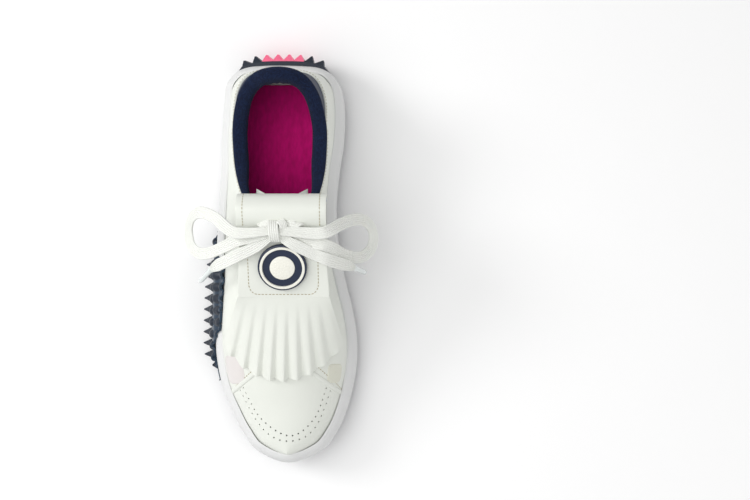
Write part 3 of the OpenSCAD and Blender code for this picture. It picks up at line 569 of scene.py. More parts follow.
def resample(points, step):
    """Catmull-Rom curve through given points, at even steps along its length."""
    points = np.asarray(points, float)
    fine = spline(points, np.linspace(0, len(points) - 1, 40 * len(points)))
    length = np.concatenate([[0], np.cumsum(np.linalg.norm(np.diff(fine, axis=0), axis=1))])
    n = max(2, int(round(length[-1] / step)))
    at = np.linspace(0, length[-1], n + 1)
    return np.stack([np.interp(at, length, fine[:, k]) for k in range(3)], -1), length[-1]


def along(keys, t):
    """Vector along a route: keys are (fraction, vector), blended smoothly."""
    ts = np.array([k[0] for k in keys])
    vs = np.array([k[1] for k in keys], float)
    i = np.clip(np.searchsorted(ts, t, side="right") - 1, 0, len(ts) - 2)
    f = smooth((t - ts[i]) / (ts[i + 1] - ts[i]))[:, None]
    return lerp(vs[i], vs[i + 1], f)


def ribbon(name, route, faces_to, width=8.0, thick=1.3, ribs=6, step=0.9, taper=None, nudge=None):
    """A flat woven lace swept along a route of design points. faces_to gives the way its
    broad side looks, by fraction of the route; taper gives [fraction, width factor,
    thickness factor] rows; nudge gives small shifts off the route, by fraction."""
    line, _ = resample(route, step)
    n = len(line)
    t = np.linspace(0, 1, n)
    if nudge is not None:
        line = line + along(nudge, t)
    tangent = unit(np.gradient(line, axis=0))
    look = along(faces_to, t)
    side = unit(np.cross(tangent, look))
    look = unit(np.cross(side, tangent))
    per_rib = 6
    a = np.linspace(-1, 1, ribs * per_rib + 1)
    rib = 0.62 * (np.abs(np.sin((a + 1) / 2 * ribs * math.pi)) ** 0.6 - 0.5)
    body = np.sqrt(np.maximum(0, 1 - np.abs(a) ** 8))
    top = np.stack([a, body + rib * (body > 0.3)], -1)
    bottom = np.stack([a[::-1][1:-1], -(body + rib * (body > 0.3))[::-1][1:-1]], -1)
    ring = np.concatenate([top, bottom])
    factor_w, factor_t = np.ones(n), np.ones(n)
    if taper is not None:
        taper = np.array(taper, float)
        factor_w = np.interp(t, taper[:, 0], taper[:, 1])
        factor_t = np.interp(t, taper[:, 0], taper[:, 2])
    offset = (side[:, None] * (ring[:, 0] * width / 2)[None, :, None] * factor_w[:, None, None]
              + look[:, None] * (ring[:, 1] * thick / 2)[None, :, None] * factor_t[:, None, None])
    grid = line[:, None] + offset
    m = len(ring)
    uv = np.stack([np.broadcast_to(t[:, None] * (n - 1) * step, (n, m)),
                   np.broadcast_to(ring[:, 0][None] * width / 2, (n, m))], -1)
    return closed(make(name, place(grid.reshape(-1, 3)), capped_tube(n, m), LACE,
                       uv=uv.reshape(-1, 2), angle=60, slot="lace_white"))


STITCH_PITCH, STITCH_L, STITCH_R, STITCH_LIFT = 2.3, 1.75, 0.24, 0.05
STITCH_STEP = 0.25


def stitches(name, route, looks):
    """A row of lockstitches along a route of design points that lies on a surface."""
    line, total = resample(route, STITCH_STEP)
    n = len(line)
    count = int(total / STITCH_PITCH)
    looks = np.broadcast_to(np.asarray(looks, float), (n, 3)) if np.ndim(looks) == 1 else \
        np.stack([np.interp(np.linspace(0, 1, n), np.linspace(0, 1, len(looks)),
                            np.asarray(looks)[:, k]) for k in range(3)], -1)
    points, faces, uvs = [], [], []
    sections = [(-0.5, 0.25), (-0.38, 0.85), (0, 1.0), (0.38, 0.85), (0.5, 0.25)]
    for q in range(count):
        i = min(n - 2, int((q + 0.5) * STITCH_PITCH / STITCH_STEP))
        along_it = unit(line[i + 1] - line[i])
        look = unit(looks[i])
        side = unit(np.cross(along_it, look))
        start = len(points)
        for place_t, size in sections:
            sink = (1 - size) * STITCH_R * 1.3
            centre = line[i] + along_it * place_t * STITCH_L + look * (STITCH_LIFT - sink)
            for k in range(6):
                angle = math.pi * k / 3
                points.append(centre + STITCH_R * size * (side * math.cos(angle) * 1.15
                                                          + look * math.sin(angle)))
                uvs.append((place_t * STITCH_L, angle * STITCH_R))
        for r in range(len(sections) - 1):
            for k in range(6):
                a, b = start + r * 6 + k, start + r * 6 + (k + 1) % 6
                faces.append((a, b, b + 6, a + 6))
        faces.append(tuple(start + k for k in range(5, -1, -1)))
        faces.append(tuple(start + 24 + k for k in range(6)))
    return make(name, place(np.array(points)), faces, THREAD, uv=uvs, angle=80,
                slot="leather_white")


def closed(obj):
    """Turns the faces of a closed mesh outwards."""
    work = bmesh.new()
    work.from_mesh(obj.data)
    bmesh.ops.recalc_face_normals(work, faces=work.faces)
    work.to_mesh(obj.data)
    work.free()
    return obj


def grid_of(rows, columns, at):
    r, c = np.meshgrid(rows, columns, indexing="ij")
    return at(r, c)


# ---------------------------------------------------------------- camera and light
def camera_and_light():
    scene = bpy.context.scene
    data = bpy.data.cameras.new("camera")
    data.sensor_width = 36
    data.lens = 55.3
    data.clip_start = 0.01
    camera = bpy.data.objects.new("camera", data)
    camera.location = (0.0677, -0.0445, 0.828)
    toward = Vector((0.0677, 0.0045, 0.025)) - camera.location
    camera.rotation_euler = toward.to_track_quat("-Z", "Y").to_euler()
    scene.collection.objects.link(camera)
    scene.camera = camera

    def softbox(name, at, target, size, watts):
        lamp = bpy.data.lights.new(name, "AREA")
        lamp.shape = "DISK"
        lamp.size = size
        lamp.energy = watts
        obj = bpy.data.objects.new(name, lamp)
        obj.location = at
        obj.rotation_euler = (Vector(target) - Vector(at)).to_track_quat("-Z", "Y").to_euler()
        scene.collection.objects.link(obj)

    softbox("key", (-1.15, 0.35, 0.95), (0, 0, 0.04), 0.6, 7.5)
    softbox("top", (-0.45, -0.15, 1.35), (0, 0, 0), 1.3, 9)
    softbox("fill", (1.1, -0.5, 0.8), (0, 0, 0.04), 1.0, 2.4)
    scene.view_settings.view_transform = "Standard"
    world = bpy.data.worlds.new("studio")
    world.use_nodes = True
    world.node_tree.nodes["Background"].inputs["Color"].default_value = (1, 1, 1, 1)
    world.node_tree.nodes["Background"].inputs["Strength"].default_value = 0.5
    scene.world = world

    half = 3.0
    floor = make("floor", [(-half, -half, 0), (half, -half, 0), (half, half, 0), (-half, half, 0)],
                 [(0, 1, 2, 3)], FLOOR, body=None)


FLOOR = plain("floor_paper", srgb(0.985, 0.985, 0.985), 0.85, amount=0.004, scale=30)

# ---------------------------------------------------------------- laces
LACE_W = 8.0
LOOP_LATERAL = [[-1, 129, 110], [-8, 129.6, 110.2], [-16, 130.4, 109.2], [-24, 130.2, 108],
    [-31, 126.6, 102.8], [-38, 121.8, 94.8], [-45, 118.2, 86], [-51.5, 116.6, 76.5],
    [-57, 118.5, 67], [-60.3, 123.5, 59.5], [-61, 130, 56], [-59.5, 136.5, 57],
    [-55.5, 141.2, 62], [-50, 143.2, 69.5], [-43.5, 143, 78], [-36.5, 141.2, 87],
    [-29.5, 139, 96], [-23.5, 137, 103.4], [-15, 135.2, 105], [-8, 134, 107.3],
    [-1, 132.5, 108.2]]
LOOP_MEDIAL = [[2, 129, 109.6], [9, 129.4, 110], [17, 130, 109.4], [25, 130.6, 108.6],
    [33.4, 130.4, 107.6], [40.5, 127, 100.5], [47, 123.4, 91], [53, 121.4, 80.5],
    [58, 122, 70.5], [61.6, 125.5, 62.5], [63, 132, 57.5], [61.5, 138.8, 57],
    [57.5, 143.5, 61], [52.5, 145.6, 68.5], [47, 145.2, 77.5], [42, 143.6, 87],
    [37.5, 141.4, 96.5], [32.5, 139.6, 102.4], [24, 137.6, 103.6], [16, 136, 105.2],
    [9.5, 134.4, 106.8], [3, 132.8, 108]]
TAIL_LATERAL = [[-1.5, 134, 107.2], [-8, 138.5, 104.4], [-15, 142.4, 101.6],
    [-22.4, 145.6, 99.4], [-29, 148.4, 93.6], [-35, 150.4, 86.6], [-39.8, 152, 79],
    [-43.5, 153.4, 71.5]]
TAIL_MEDIAL = [[4, 134, 107.2], [11, 138.4, 106.9], [18.5, 142, 104], [26, 145.4, 100.6],
    [33.4, 148.2, 98], [40, 150.2, 91.6], [45.8, 151.6, 84], [50.5, 152.8, 76]]
AGLET_END_LATERAL = [-53.5, 161, 54]
AGLET_END_MEDIAL = [57.5, 155, 58]
KNOT = [0.6, 130.5, 109.6]


def aglet(name, start, end):
    """Crimped film sleeve on a lace's end, with a slight waist and a rounded tip."""
    start, end = np.array(start, float), np.array(end, float)
    axis = unit(end - start)
    length = np.linalg.norm(end - start)
    side = unit(np.cross(axis, [0, 0, 1.0]))
    up = np.cross(side, axis)
    rings = [(-1.2, 2.0, 0.8), (0, 2.3, 1.25), (1.5, 2.05, 1.6), (4, 1.8, 1.75),
             (length * 0.6, 1.75, 1.75), (length - 2.5, 1.7, 1.7), (length - 0.8, 1.55, 1.55),
             (length - 0.2, 1.1, 1.1), (length, 0.4, 0.4)]
    sides = 20
    points = [start + axis * d + side * w * math.cos(2 * math.pi * k / sides)
              + up * h * math.sin(2 * math.pi * k / sides) for d, w, h in rings for k in range(sides)]
    return closed(make(name, place(points), capped_tube(len(rings), sides), AGLET,
                       slot="aglet_film", angle=50))


def laces():
    """The bow: two loops and two tails from one knot, with their aglets."""
    flat, out_l, out_m = (0, -0.1, 1), (-0.6, 0, 0.8), (0.6, 0, 0.8)
    specs = [("loop_lateral", "lace_loop_lateral", LOOP_LATERAL,
              [(0, flat), (0.14, (0, 0, 1)), (0.27, out_l), (0.74, out_l), (0.87, (0, 0.2, 1)),
               (1, (0, 0.3, 1))], None),
             ("loop_medial", "lace_loop_medial", LOOP_MEDIAL,
              [(0, flat), (0.18, (0, 0, 1)), (0.3, out_m), (0.72, out_m), (0.84, (0, 0.2, 1)),
               (1, (0, 0.3, 1))], None),
             ("tail_lateral", "lace_tail_lateral", TAIL_LATERAL,
              [(0, (0, 0.3, 1)), (0.35, (0, 0.35, 1)), (0.6, (-0.65, 0.2, 0.8)), (1, (-0.65, 0.2, 0.8))],
              AGLET_END_LATERAL),
             ("tail_medial", "lace_tail_medial", TAIL_MEDIAL,
              [(0, (0, 0.3, 1)), (0.45, (0, 0.35, 1)), (0.68, (0.7, 0.2, 0.8)), (1, (0.7, 0.2, 0.8))],
              AGLET_END_MEDIAL)]
    for name, node, route, looks, tip in specs:
        taper = [[0, 0.62, 1.2], [0.1, 0.9, 1], [0.2, 1, 1], [0.85, 1, 1], [0.93, 0.9, 1], [1, 0.6, 1.2]]
        nudge = [(0, (0, 2.4, 0.6)), (0.12, (0, 2.0, 0.3)), (0.24, (0, 0, 0)), (1, (0, 0, 0))]
        if tip is not None:
            taper = [[0, 0.7, 1.2], [0.2, 1, 1], [0.8, 1, 1], [0.94, 0.7, 1.2], [1, 0.42, 1.5]]
            nudge = None
        piece = ribbon(name, route, looks, width=LACE_W, taper=taper, nudge=nudge)
        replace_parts(piece, node)
        _, length = resample(route, 1.0)
        if tip is not None:
            end = aglet(name.replace("tail", "aglet_end"), route[-1], tip)
            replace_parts(end, node.replace("lace_tail", "aglet"))


def knot_piece():
    """The bow's knot: a ribbed wrap over a rolled core, with the lace rising from the strap."""
    ribbon("knot_wrap", [[0.2, 124.6, 106.4], [0.2, 125.4, 109.6], [0.3, 127.8, 112.2],
        [0.6, 131, 113], [0.9, 134.2, 111.8], [1.1, 136.6, 108.8], [1.2, 137.2, 105.4]],
        [(0, (0, -1, 0.1)), (0.3, (0, -0.6, 0.8)), (0.5, (0, 0, 1)), (0.75, (0, 0.6, 0.8)),
         (1, (0, 1, 0.1))], width=6.6, thick=1.5, ribs=5, step=0.5)
    ribbon("knot_fold", [[2.2, 126.5, 105.8], [3.6, 125.2, 108.8], [5.2, 125.4, 111],
        [6.6, 127.6, 111.6], [6.4, 130.4, 110.4], [4.4, 132.2, 109]],
        [(0, (0, -1, 0.1)), (0.4, (0.2, -0.5, 0.85)), (0.7, (0.4, 0, 1)), (1, (0.2, 0.4, 1))],
        width=5.2, thick=1.4, ribs=5, step=0.5)
    turns, rings, sides = [], 18, 24
    for i in range(rings + 1):
        t = math.pi * i / rings
        turns += [(KNOT[0] + 0.6 + 5.0 * math.cos(t),
                   KNOT[1] + 0.5 + 5.2 * math.sin(t) * math.cos(2 * math.pi * k / sides),
                   KNOT[2] - 1.4 + 3.4 * math.sin(t) * math.sin(2 * math.pi * k / sides))
                  for k in range(sides)]
    faces = quads(rings + 1, sides, close_cols=True)
    core = make("knot_core", place(turns), faces, LACE, slot="lace_white", angle=80,
                uv=[(0.4 * (k // sides), 0.6 * (k % sides)) for k in range(len(turns))])
    for side, x in zip(("lateral", "medial"), LACE_HOLES):
        way = 1 if x < 0 else -1
        ribbon("feed_" + side, [[x, 126.5, 102.5], [x, 126.3, 105.6],
            [x + 0.8 * way, 126.3, 107.9], [x + 3.4 * way, 127, 109], [(x + 0.6) / 2, 128, 109.2],
            [0.6 - 3 * way, 129, 108.9]],
            [(0, (0, -1, 0)), (0.25, (-0.3 * way, -1, 0.2)), (0.5, (-0.2 * way, -0.2, 1)),
             (1, (0, 0, 1))], width=7.4, thick=1.2, step=0.5,
            taper=[[0, 0.5, 1.3], [0.25, 0.55, 1.3], [0.6, 0.9, 1], [1, 0.9, 1]])
    closed(core)
    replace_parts(core, "lace_knot")


def rungs():
    """The straight lacing between the eyelets, under the kiltie."""
    pieces = []
    for i, s in enumerate(EYELETS):
        u = float(eyelet_knot(s))
        sides = []
        for side in (0, 1):
            p, n = upper(side, u, EYELET_V), normal(side, u, EYELET_V)
            q, m = upper(side, u, 0.95), normal(side, u, 0.95)
            edge = upper(side, u, 1.0)
            sides.append([p - n * 3.2, p + n * 0.2, p + n * 1.2 + (q - p) * 0.25, q + m * 1.2,
                          edge + np.array([0, 0, 1.5])])
        middle = (sides[0][-1] + sides[1][-1]) / 2 + np.array([0, 0, 0.3])
        route = sides[0] + [middle] + sides[1][::-1]
        looks = [(0, tuple(np.array([0, -1.0, 0.3]))), (0.12, tuple(normal(0, u, 0.9))), (0.3, (0, 0, 1)),
                 (0.7, (0, 0, 1)), (0.88, tuple(normal(1, u, 0.9))), (1, (0, -1.0, 0.3))]
        piece = ribbon("rung_%d" % (i + 1), route, looks, width=7.0, thick=1.1, step=0.8,
            taper=[[0, 0.5, 1.2], [0.06, 0.55, 1.2], [0.16, 1, 1], [0.84, 1, 1], [0.94, 0.55, 1.2],
                   [1, 0.5, 1.2]])
        pieces.append(piece)
    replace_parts(join(pieces, "lace_lattice"), "lace_rungs")


# ---------------------------------------------------------------- sole
WRAP_Z = [36, 28.5, 21, 13.5]
STUD_COLUMNS = 10
WRAP_HALF = 36
SOLE_EDGE = 0.6
ROW_PITCH = 8
PLATE_ROWS = 34
TOTAL_ROWS = 5 + PLATE_ROWS - 1
INSERT_ROWS, INSERT_FROM, INSERT_TO = 8, 3, 6
FLARE_REACH, FLARE_STUD = 3.6, 6.5
WALL_BREAKS = [[0, 1.4], [0.2, 0], [0.5, 1.2], [0.82, 3], [1, 6]]
STUD_LEVELS = [(0.0, 0.90), (0.30, 0.66), (0.62, 0.38), (0.88, 0.17), (0.97, 0.10), (1.0, 0.03)]


def heel_curve(x):
    return 7 * (abs(x) / 34) ** 3.4 + 1.6 * max(0, abs(x) - 31) ** 1.1


def sole_point(r, c, out):
    """Point of the studded sheet: row r, column fraction c, offset out of the shoe."""
    if r < 5:
        x = lerp(-WRAP_HALF, WRAP_HALF, c) * (1 + 0.022 * (out - PLATE_T))
    if r < 4:
        z = WRAP_Z[r]
        foot = float(wall_foot(8.0))
        f = (z - foot) / (float(lookup(8.0, MIDSOLE_TOP)) - foot)
        table = np.array(WALL_BREAKS)
        y = 6.5 + np.interp(f, table[:, 0], table[:, 1]) * HEEL_INSET + heel_curve(x) - 0.75 - out
        return [x, y, z]
    if r == 4:
        return [x, 8.6 + heel_curve(x) - out * 0.7, 8.4 - out * 0.6]
    s = 15 + ROW_PITCH * (r - 5)
    lateral, medial = np.array(LATERAL), np.array(MEDIAL)
    x = lerp(np.interp(s, lateral[:, 1], lateral[:, 0]) + SOLE_EDGE,
             np.interp(s, medial[:, 1], medial[:, 0]) - SOLE_EDGE, c)
    bow = 0.6 * heel_curve(min(34, abs(x))) * max(0, 1 - (s - 15) / 30)
    curl = -0.004 * (x - 4.6) ** 2 * min(1, (s - 240) / 30) if s > 240 else 0
    y = min(s + bow + curl, 283.5)
    return [x, y, float(ground(y)) + STUD_H + PLATE_T - out]


def flare(s):
    return float(smooth((s - 128) / 20) * smooth((232 - s) / 20))


def sheet_point(r, c, out):
    p = sole_point(r, c, out)
    if c == 0 and r > 4:
        p[0] -= flare(p[1]) * FLARE_REACH
    return p


def stud_tip(r, j, tall):
    m = STUD_COLUMNS
    a = np.mean([sole_point(r + i, (j + k) / m, tall) for i in (0, 1) for k in (0, 1)], axis=0)
    f = flare(a[1])
    if j == 0 and f > 0:
        return np.array([lerp(a[0], sheet_point(r, 0, tall)[0] - FLARE_STUD, f), a[1], a[2] + 1.5 * f])
    return a


def studded(name, outer, inner, tips, material, slot):
    """A sheet between two grids of points, with a blunt pyramid on each cell that has a tip."""
    outer, inner = np.array(outer, float), np.array(inner, float)
    n, m = outer.shape[0] - 1, outer.shape[1] - 1
    w = m + 1
    o = (n + 1) * w
    points = list(outer.reshape(-1, 3)) + list(inner.reshape(-1, 3))
    faces = []
    for i in range(n):
        for j in range(m):
            ring = [i * w + j, i * w + j + 1, (i + 1) * w + j + 1, (i + 1) * w + j]
            faces.append(tuple(o + k for k in ring[::-1]))
            if tips[i][j] is None:
                faces.append(tuple(ring))
                continue
            corners = np.array([points[k] for k in ring])
            middle, tip = corners.mean(0), tips[i][j]
            for level, (t, size) in enumerate(STUD_LEVELS):
                start = len(points)
                points += list(middle + (corners - middle) * size + (tip - middle) * t)
                if level == 0:
                    below = ring
                new = [start + k for k in range(4)]
                faces += [(below[k], below[(k + 1) % 4], new[(k + 1) % 4], new[k]) for k in range(4)]
                below = new
            faces.append(tuple(below))
    for j in range(m):
        faces.append((j, o + j, o + j + 1, j + 1))
        faces.append((n * w + j, n * w + j + 1, o + n * w + j + 1, o + n * w + j))
    for i in range(n):
        a, b = i * w, (i + 1) * w
        faces.append((a, b, o + b, o + a))
        faces.append((a + m, o + a + m, o + b + m, b + m))
    return closed(make(name, place(points), faces, material, slot=slot, angle=24))


def sole():
    """Studded sheet and its pink heel insert."""
    m = STUD_COLUMNS
    cells = [[None if (r < INSERT_ROWS and INSERT_FROM <= j <= INSERT_TO)
              else stud_tip(r, j, PLATE_T + STUD_H) for j in range(m)] for r in range(TOTAL_ROWS)]
    outer, inner = ([[sheet_point(r, j / m, out) for j in range(m + 1)] for r in range(TOTAL_ROWS + 1)]
                    for out in (PLATE_T, 0))
    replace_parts(studded("sole_sheet", outer, inner, cells, NAVY, "rubber_navy"), "outsole")
    columns = INSERT_TO + 1 - INSERT_FROM
    fractions = [(INSERT_FROM + j) / m for j in range(columns + 1)]
    rows = range(INSERT_ROWS + 1)
    insert = studded("heel_panel", [[sole_point(r, c, PLATE_T + 0.8) for c in fractions] for r in rows],
                     [[sole_point(r, c, PLATE_T + 0.02) for c in fractions] for r in rows],
                     [[stud_tip(r, INSERT_FROM + j, PLATE_T + STUD_H) for j in range(columns)]
                      for r in range(INSERT_ROWS)], PINK, "rubber_pink")
    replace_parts(insert, "heel_insert")


WING_TOP = [[118, 8.4], [126, 10], [133.5, 19], [139, 27.4], [144.8, 34], [150.5, 37.8],
    [156, 39.5], [166.5, 38.7], [175, 36.9], [182.6, 35], [191, 32], [198.7, 27.4],
    [205.3, 19.8], [212.8, 13.2], [221.4, 9], [230, 8.2]]
WING_GAP = 0.4
WING_T = 1.6
BUMP_R, BUMP_H = 3.0, 2.3
BUMP_PITCH = (8.1, 8.5)
BUMP_AT = (164, 12.5)


def knot_at(side, s):
    """The knot at which the outline passes a station."""
    us = np.linspace(0, LAST, 800)
    return np.interp(s, knot(side, us)[:, 1], us)


def side_wing():
    """Rubber wing up the lateral side, a wall with a grid of half-round bumps."""
    def at(s, t):
        u = knot_at(0, s)
        foot = wall_foot(s)
        wall_h = lookup(s, MIDSOLE_TOP) - foot
        top = np.maximum(foot + 1.5, np.interp(s, *np.array(WING_TOP).T))
        z = lerp(foot, top, t)
        near_s = (s - BUMP_AT[0]) / BUMP_PITCH[0]
        near_z = (z - BUMP_AT[1]) / BUMP_PITCH[1]
        away = np.hypot((near_s - np.round(near_s)) * BUMP_PITCH[0],
                        (near_z - np.round(near_z)) * BUMP_PITCH[1])
        bump = BUMP_H * np.sqrt(np.maximum(0, 1 - (away / BUMP_R) ** 2))
        out = WING_GAP + WING_T + bump
        f = np.clip((z - foot) / wall_h, 0, 1)
        low = wall(0, u, f, out)
        high = layer(0, u, v_at(0, u, np.maximum(z, foot + wall_h * 0.98)), -out)
        blend = smooth((z - foot - 0.84 * wall_h) / (0.16 * wall_h + 3.5))[..., None]
        p = lerp(low, high, blend)
        p[..., 2] = z
        return np.concatenate([p, bump[..., None]], -1)

    data = grid_of(np.linspace(118.6, 229, 215), np.linspace(0, 1, 58), at)
    bump = data[..., 3]
    wing = sheet("wing", data[..., :3], WING, thick=WING_T, bevel=0.25, slot="rubber_navy")
    wing.data.materials.append(NAVY)
    tree = BVHTree.FromPolygons([tuple(p) for p in place(data[..., :3].reshape(-1, 3))],
                                quads(*bump.shape))
    flat = bump.reshape(-1)
    cells = quads(*bump.shape)
    for face in wing.data.polygons:
        _, _, index, distance = tree.find_nearest(face.center)
        if distance < 0.0004 and max(flat[list(cells[index])]) > 0.35:
            face.material_index = 1
    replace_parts(wing, "side_wing")


def midsole():
    """Foam wall round the shoe: full and round at the toe, creased along the rear half."""
    fs = [0, 0.04, 0.1, 0.2, 0.3, 0.4, 0.5, 0.6, 0.68, 0.74, 0.77, 0.8, 0.84, 0.88, 0.92, 0.96, 0.985, 1]

    def ring(side, u):
        s = knot(side, u)[1]
        rows = [wall(side, u, np.array(f)) for f in fs]
        f = inset(side, u, 7.2 * heel_factor(u))
        return rows + [np.array([f[0], f[1], lookup(s, MIDSOLE_TOP)]), np.array([f[0], f[1], wall_foot(s)])]

    steps = 150
    rings = [ring(0, u) for u in np.linspace(0, LAST, steps + 1)]
    rings += [ring(1, u) for u in np.linspace(LAST, 0, steps + 1)[1:-1]]
    rings = np.array(rings)
    obj = make("midsole_wall", place(rings.reshape(-1, 3)), quads(*rings.shape[:2], True, True),
               MIDSOLE, slot="midsole_white", angle=40)
    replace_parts(closed(obj), "midsole_shell")


def insole():
    """Fabric cover over the insole foam, with a few lengthwise wrinkles."""
    def at(s, a):
        ul, um = knot_at(0, s), knot_at(1, s)
        d = 11 * lerp(HEEL_INSET, 1, smooth(ul / 3)) - 2.4
        left, right = inset(0, ul, d), inset(1, um, d)
        x = lerp(left[..., 0], right[..., 0], (a + 1) / 2)
        y = lerp(left[..., 1], right[..., 1], (a + 1) / 2)
        z = lookup(y, BOARD_TOP) + 5.45
        wrinkle = np.zeros(np.shape(x))
        for k, (x0, slope, width, height) in enumerate([(-6, 0.05, 2.2, 0.9), (4.5, -0.04, 1.8, 0.8),
                                                        (13, 0.03, 2.4, 0.7), (-15, 0.02, 2.0, 0.6)]):
            off = x - (x0 + slope * (y - 60) + 1.5 * np.sin(y / 17 + k))
            wrinkle += height * np.exp(-(off / width) ** 2) * smooth((y - 34) / 14) * smooth((120 - y) / 25)
        curl = 3.2 * np.abs(a) ** 7
        return np.stack([x, y, z + wrinkle + curl], -1)

    rows = np.concatenate([np.linspace(17.5, 30, 12), np.linspace(31.5, 130, 60),
                           np.linspace(133, 262, 30)])
    grid = grid_of(rows, np.linspace(-1, 1, 61), at)
    cover = sheet("insole_face", grid, INSOLE, thick=0.9, bevel=0.2, out=(0, 0, 1), slot="insole_fabric")
    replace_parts(cover, "insole_cover")
    width = np.linalg.norm(np.diff(grid, axis=1), axis=-1).sum(1)


# ---------------------------------------------------------------- upper
def tab_v(side, u):
    return np.where(u <= 0.25, 0.05, np.minimum(COLLAR_V - 0.01, v_at(side, u, lookup(u, TAB_EDGE))))


def quarter_top(side, u):
    """Upper edge of a quarter, as v."""
    rear = np.minimum(COLLAR_V, tab_v(side, u) - 0.004)
    throat = lerp(COLLAR_V, 1, smooth((u - 8.9) / 0.6))
    return np.where(u < TAB_END, rear, np.where(u < THROAT_END, throat, lookup(u, VAMP_EDGE)))


def eyelet_knot(s):
    return lookup(s, [[119, 9], [138, 10], [158, 11], [180, 12], [201, 13]])


SIDE_HOLES, SIDE_HOLE_Z = (109, 116.5, 124, 131.5), 42.0


def quarter(side, name, node):
    us = np.concatenate([[0.3, 0.36, 0.43], np.linspace(0.5, 4.4, 56), np.linspace(4.45, 5.6, 22),
                         np.linspace(5.7, 12.8, 96), np.linspace(12.85, 15.4, 52)])

    def at(u, v):
        return upper(side, u, (0.02 + 0.98 * v) * quarter_top(side, u))

    grid = grid_of(us, np.linspace(0, 1, 40), at)
    obj = sheet(name, grid, WHITE, thick=LEATHER_T, bevel=0.3, slot="leather_white")
    centres, axes, radii = [], [], []
    for s in EYELETS:
        u = eyelet_knot(s)
        centres.append(upper(side, u, EYELET_V))
        axes.append(normal(side, u, EYELET_V))
        radii.append(2.2)
    for s in SIDE_HOLES:
        u = knot_at(side, s)
        v = v_at(side, u, SIDE_HOLE_Z)
        centres.append(upper(side, u, v))
        axes.append(normal(side, u, v))
        radii.append(1.15)
    punch(obj, centres, axes, radii, length=7.0, sides=18)
    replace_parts(obj, node)
    seam = []
    spans = [(13.05, 15.2, 60, 0.030), (13.05, 15.2, 60, (0.075, 0.16)[side]), (9.4, 12.95, 60, 0.035),
             (0.55, 4.9, 50, 0.028), (5.1, 8.8, 50, 0.035)]
    for k, (first, last, count, below) in enumerate(spans):
        row = np.linspace(first, last, count)
        v = np.maximum(0.03, quarter_top(side, row) - below)
        keep = v > 0.035
        seam.append(stitches("seam_%d_%d" % (side, k), upper(side, row, v)[keep],
                             normal(side, row, v)[keep]))
    join(seam, "quarter_seams_" + ("lateral", "medial")[side])


def edge_roll(side, name):
    """The turned front edge of a quarter: a soft leather roll where it laps the vamp."""
    us = np.linspace(12.98, 15.32, 90)
    v = np.maximum(0.012, quarter_top(side, us) - 0.012)
    line = upper(side, us, v)
    n = normal(side, us, v)
    way = unit(np.gradient(line, axis=0))
    across = unit(np.cross(way, n))
    t = np.linspace(0, 1, len(us))
    full = np.sqrt(np.clip(np.minimum(t / 0.05, (1 - t) / 0.05), 0.02, 1))[:, None, None]
    turn = np.linspace(0, 2 * math.pi, 15)[:-1]
    ring = (across[:, None] * (1.55 * np.cos(turn))[None, :, None]
            + n[:, None] * (0.95 * np.sin(turn))[None, :, None])
    grid = (line + n * 0.05)[:, None] + ring * full
    closed(make(name, place(grid.reshape(-1, 3)), capped_tube(*grid.shape[:2]), WHITE,
                slot="leather_white", angle=60))


PERFORATIONS = [
    [(-27.3, 234.3), (-23.5, 241.5), (-19.9, 248.6), (-15, 256), (-9.4, 262.4), (-1.5, 267.1),
     (7, 268.3), (14, 266.8), (18.4, 264.6), (23.5, 259.5), (27.3, 252.7), (30.8, 243.7), (33.7, 234.8)],
    [(-24.7, 232.4), (-12.9, 253), (7, 264.6), (23, 253.4), (31.1, 232.7)]]
PERFORATION_COUNT = 23


def vamp():
    """One layer over the forefoot: lateral side, ridge, medial side, welded at the toe."""
    us = np.concatenate([np.linspace(13.3, 15.1, 34), np.linspace(15.15, 15.6, 10),
                         np.linspace(15.7, 18.5, 44), [18.6, 18.7, 18.78, 18.85, 18.91, 18.96, 19.0]])
    tucked = lookup(us, VAMP_EDGE) - 0.05 * smooth((15.6 - us) / 0.3)
    low = np.clip(tucked, 0.004, 0.98)[:, None]
    v = low + (1 - low) * np.linspace(0, 1, 27)[None]
    u = np.broadcast_to(us[:, None], v.shape)
    grid = np.concatenate([upper(0, u, v), upper(1, u, v)[:, ::-1][:, 1:]], 1)
    obj = sheet("vamp_leather", grid, WHITE, thick=LEATHER_T, slot="leather_white", weld=True)
    mesh = obj.data
    tree = BVHTree.FromPolygons([v.co.copy() for v in mesh.vertices],
                                [tuple(p.vertices) for p in mesh.polygons])
    centres, axes, radii = [], [], []
    for row in PERFORATIONS:
        route = [(x, s, 0.0) for x, s in row]
        line, total = resample(route, 0.1)
        for k in range(PERFORATION_COUNT):
            p = line[int(k * (len(line) - 1) / (PERFORATION_COUNT - 1))]
            start = Vector(place([p[0], p[1], 100.0]))
            hit, out, _, _ = tree.ray_cast(start, Vector((0, 0, -1)))
            if hit is None:
                continue
            centres.append(np.array([hit.x * 1000 + MID_X, SHOE_L / 2 - hit.y * 1000, hit.z * 1000]))
            axes.append(np.array([out.x, -out.y, out.z]))
            radii.append(0.62)
    punch(obj, centres, axes, radii, length=5.0, sides=10)
    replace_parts(obj, "vamp")


def heel_tab():
    ws = np.concatenate([np.linspace(-5.2, -0.3, 70), np.linspace(-0.24, 0.24, 9),
                         np.linspace(0.3, 5.2, 70)])

    def at(w, t):
        u = np.abs(w)
        low = np.where(w < 0, tab_v(1, np.maximum(u, 0.26)), tab_v(0, np.maximum(u, 0.26)))
        low = lerp(0.05, low, smooth((u - 0.16) / 0.12)) - 0.03
        return round_heel(w, lerp(np.maximum(0.03, low), COLLAR_V + 0.01, t), 1.0)

    obj = sheet("heel_panel_leather", grid_of(ws, np.linspace(0, 1, 26), at), SLATE, thick=1.3,
                bevel=0.25, slot="leather_slate")
    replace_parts(obj, "heel_tab")


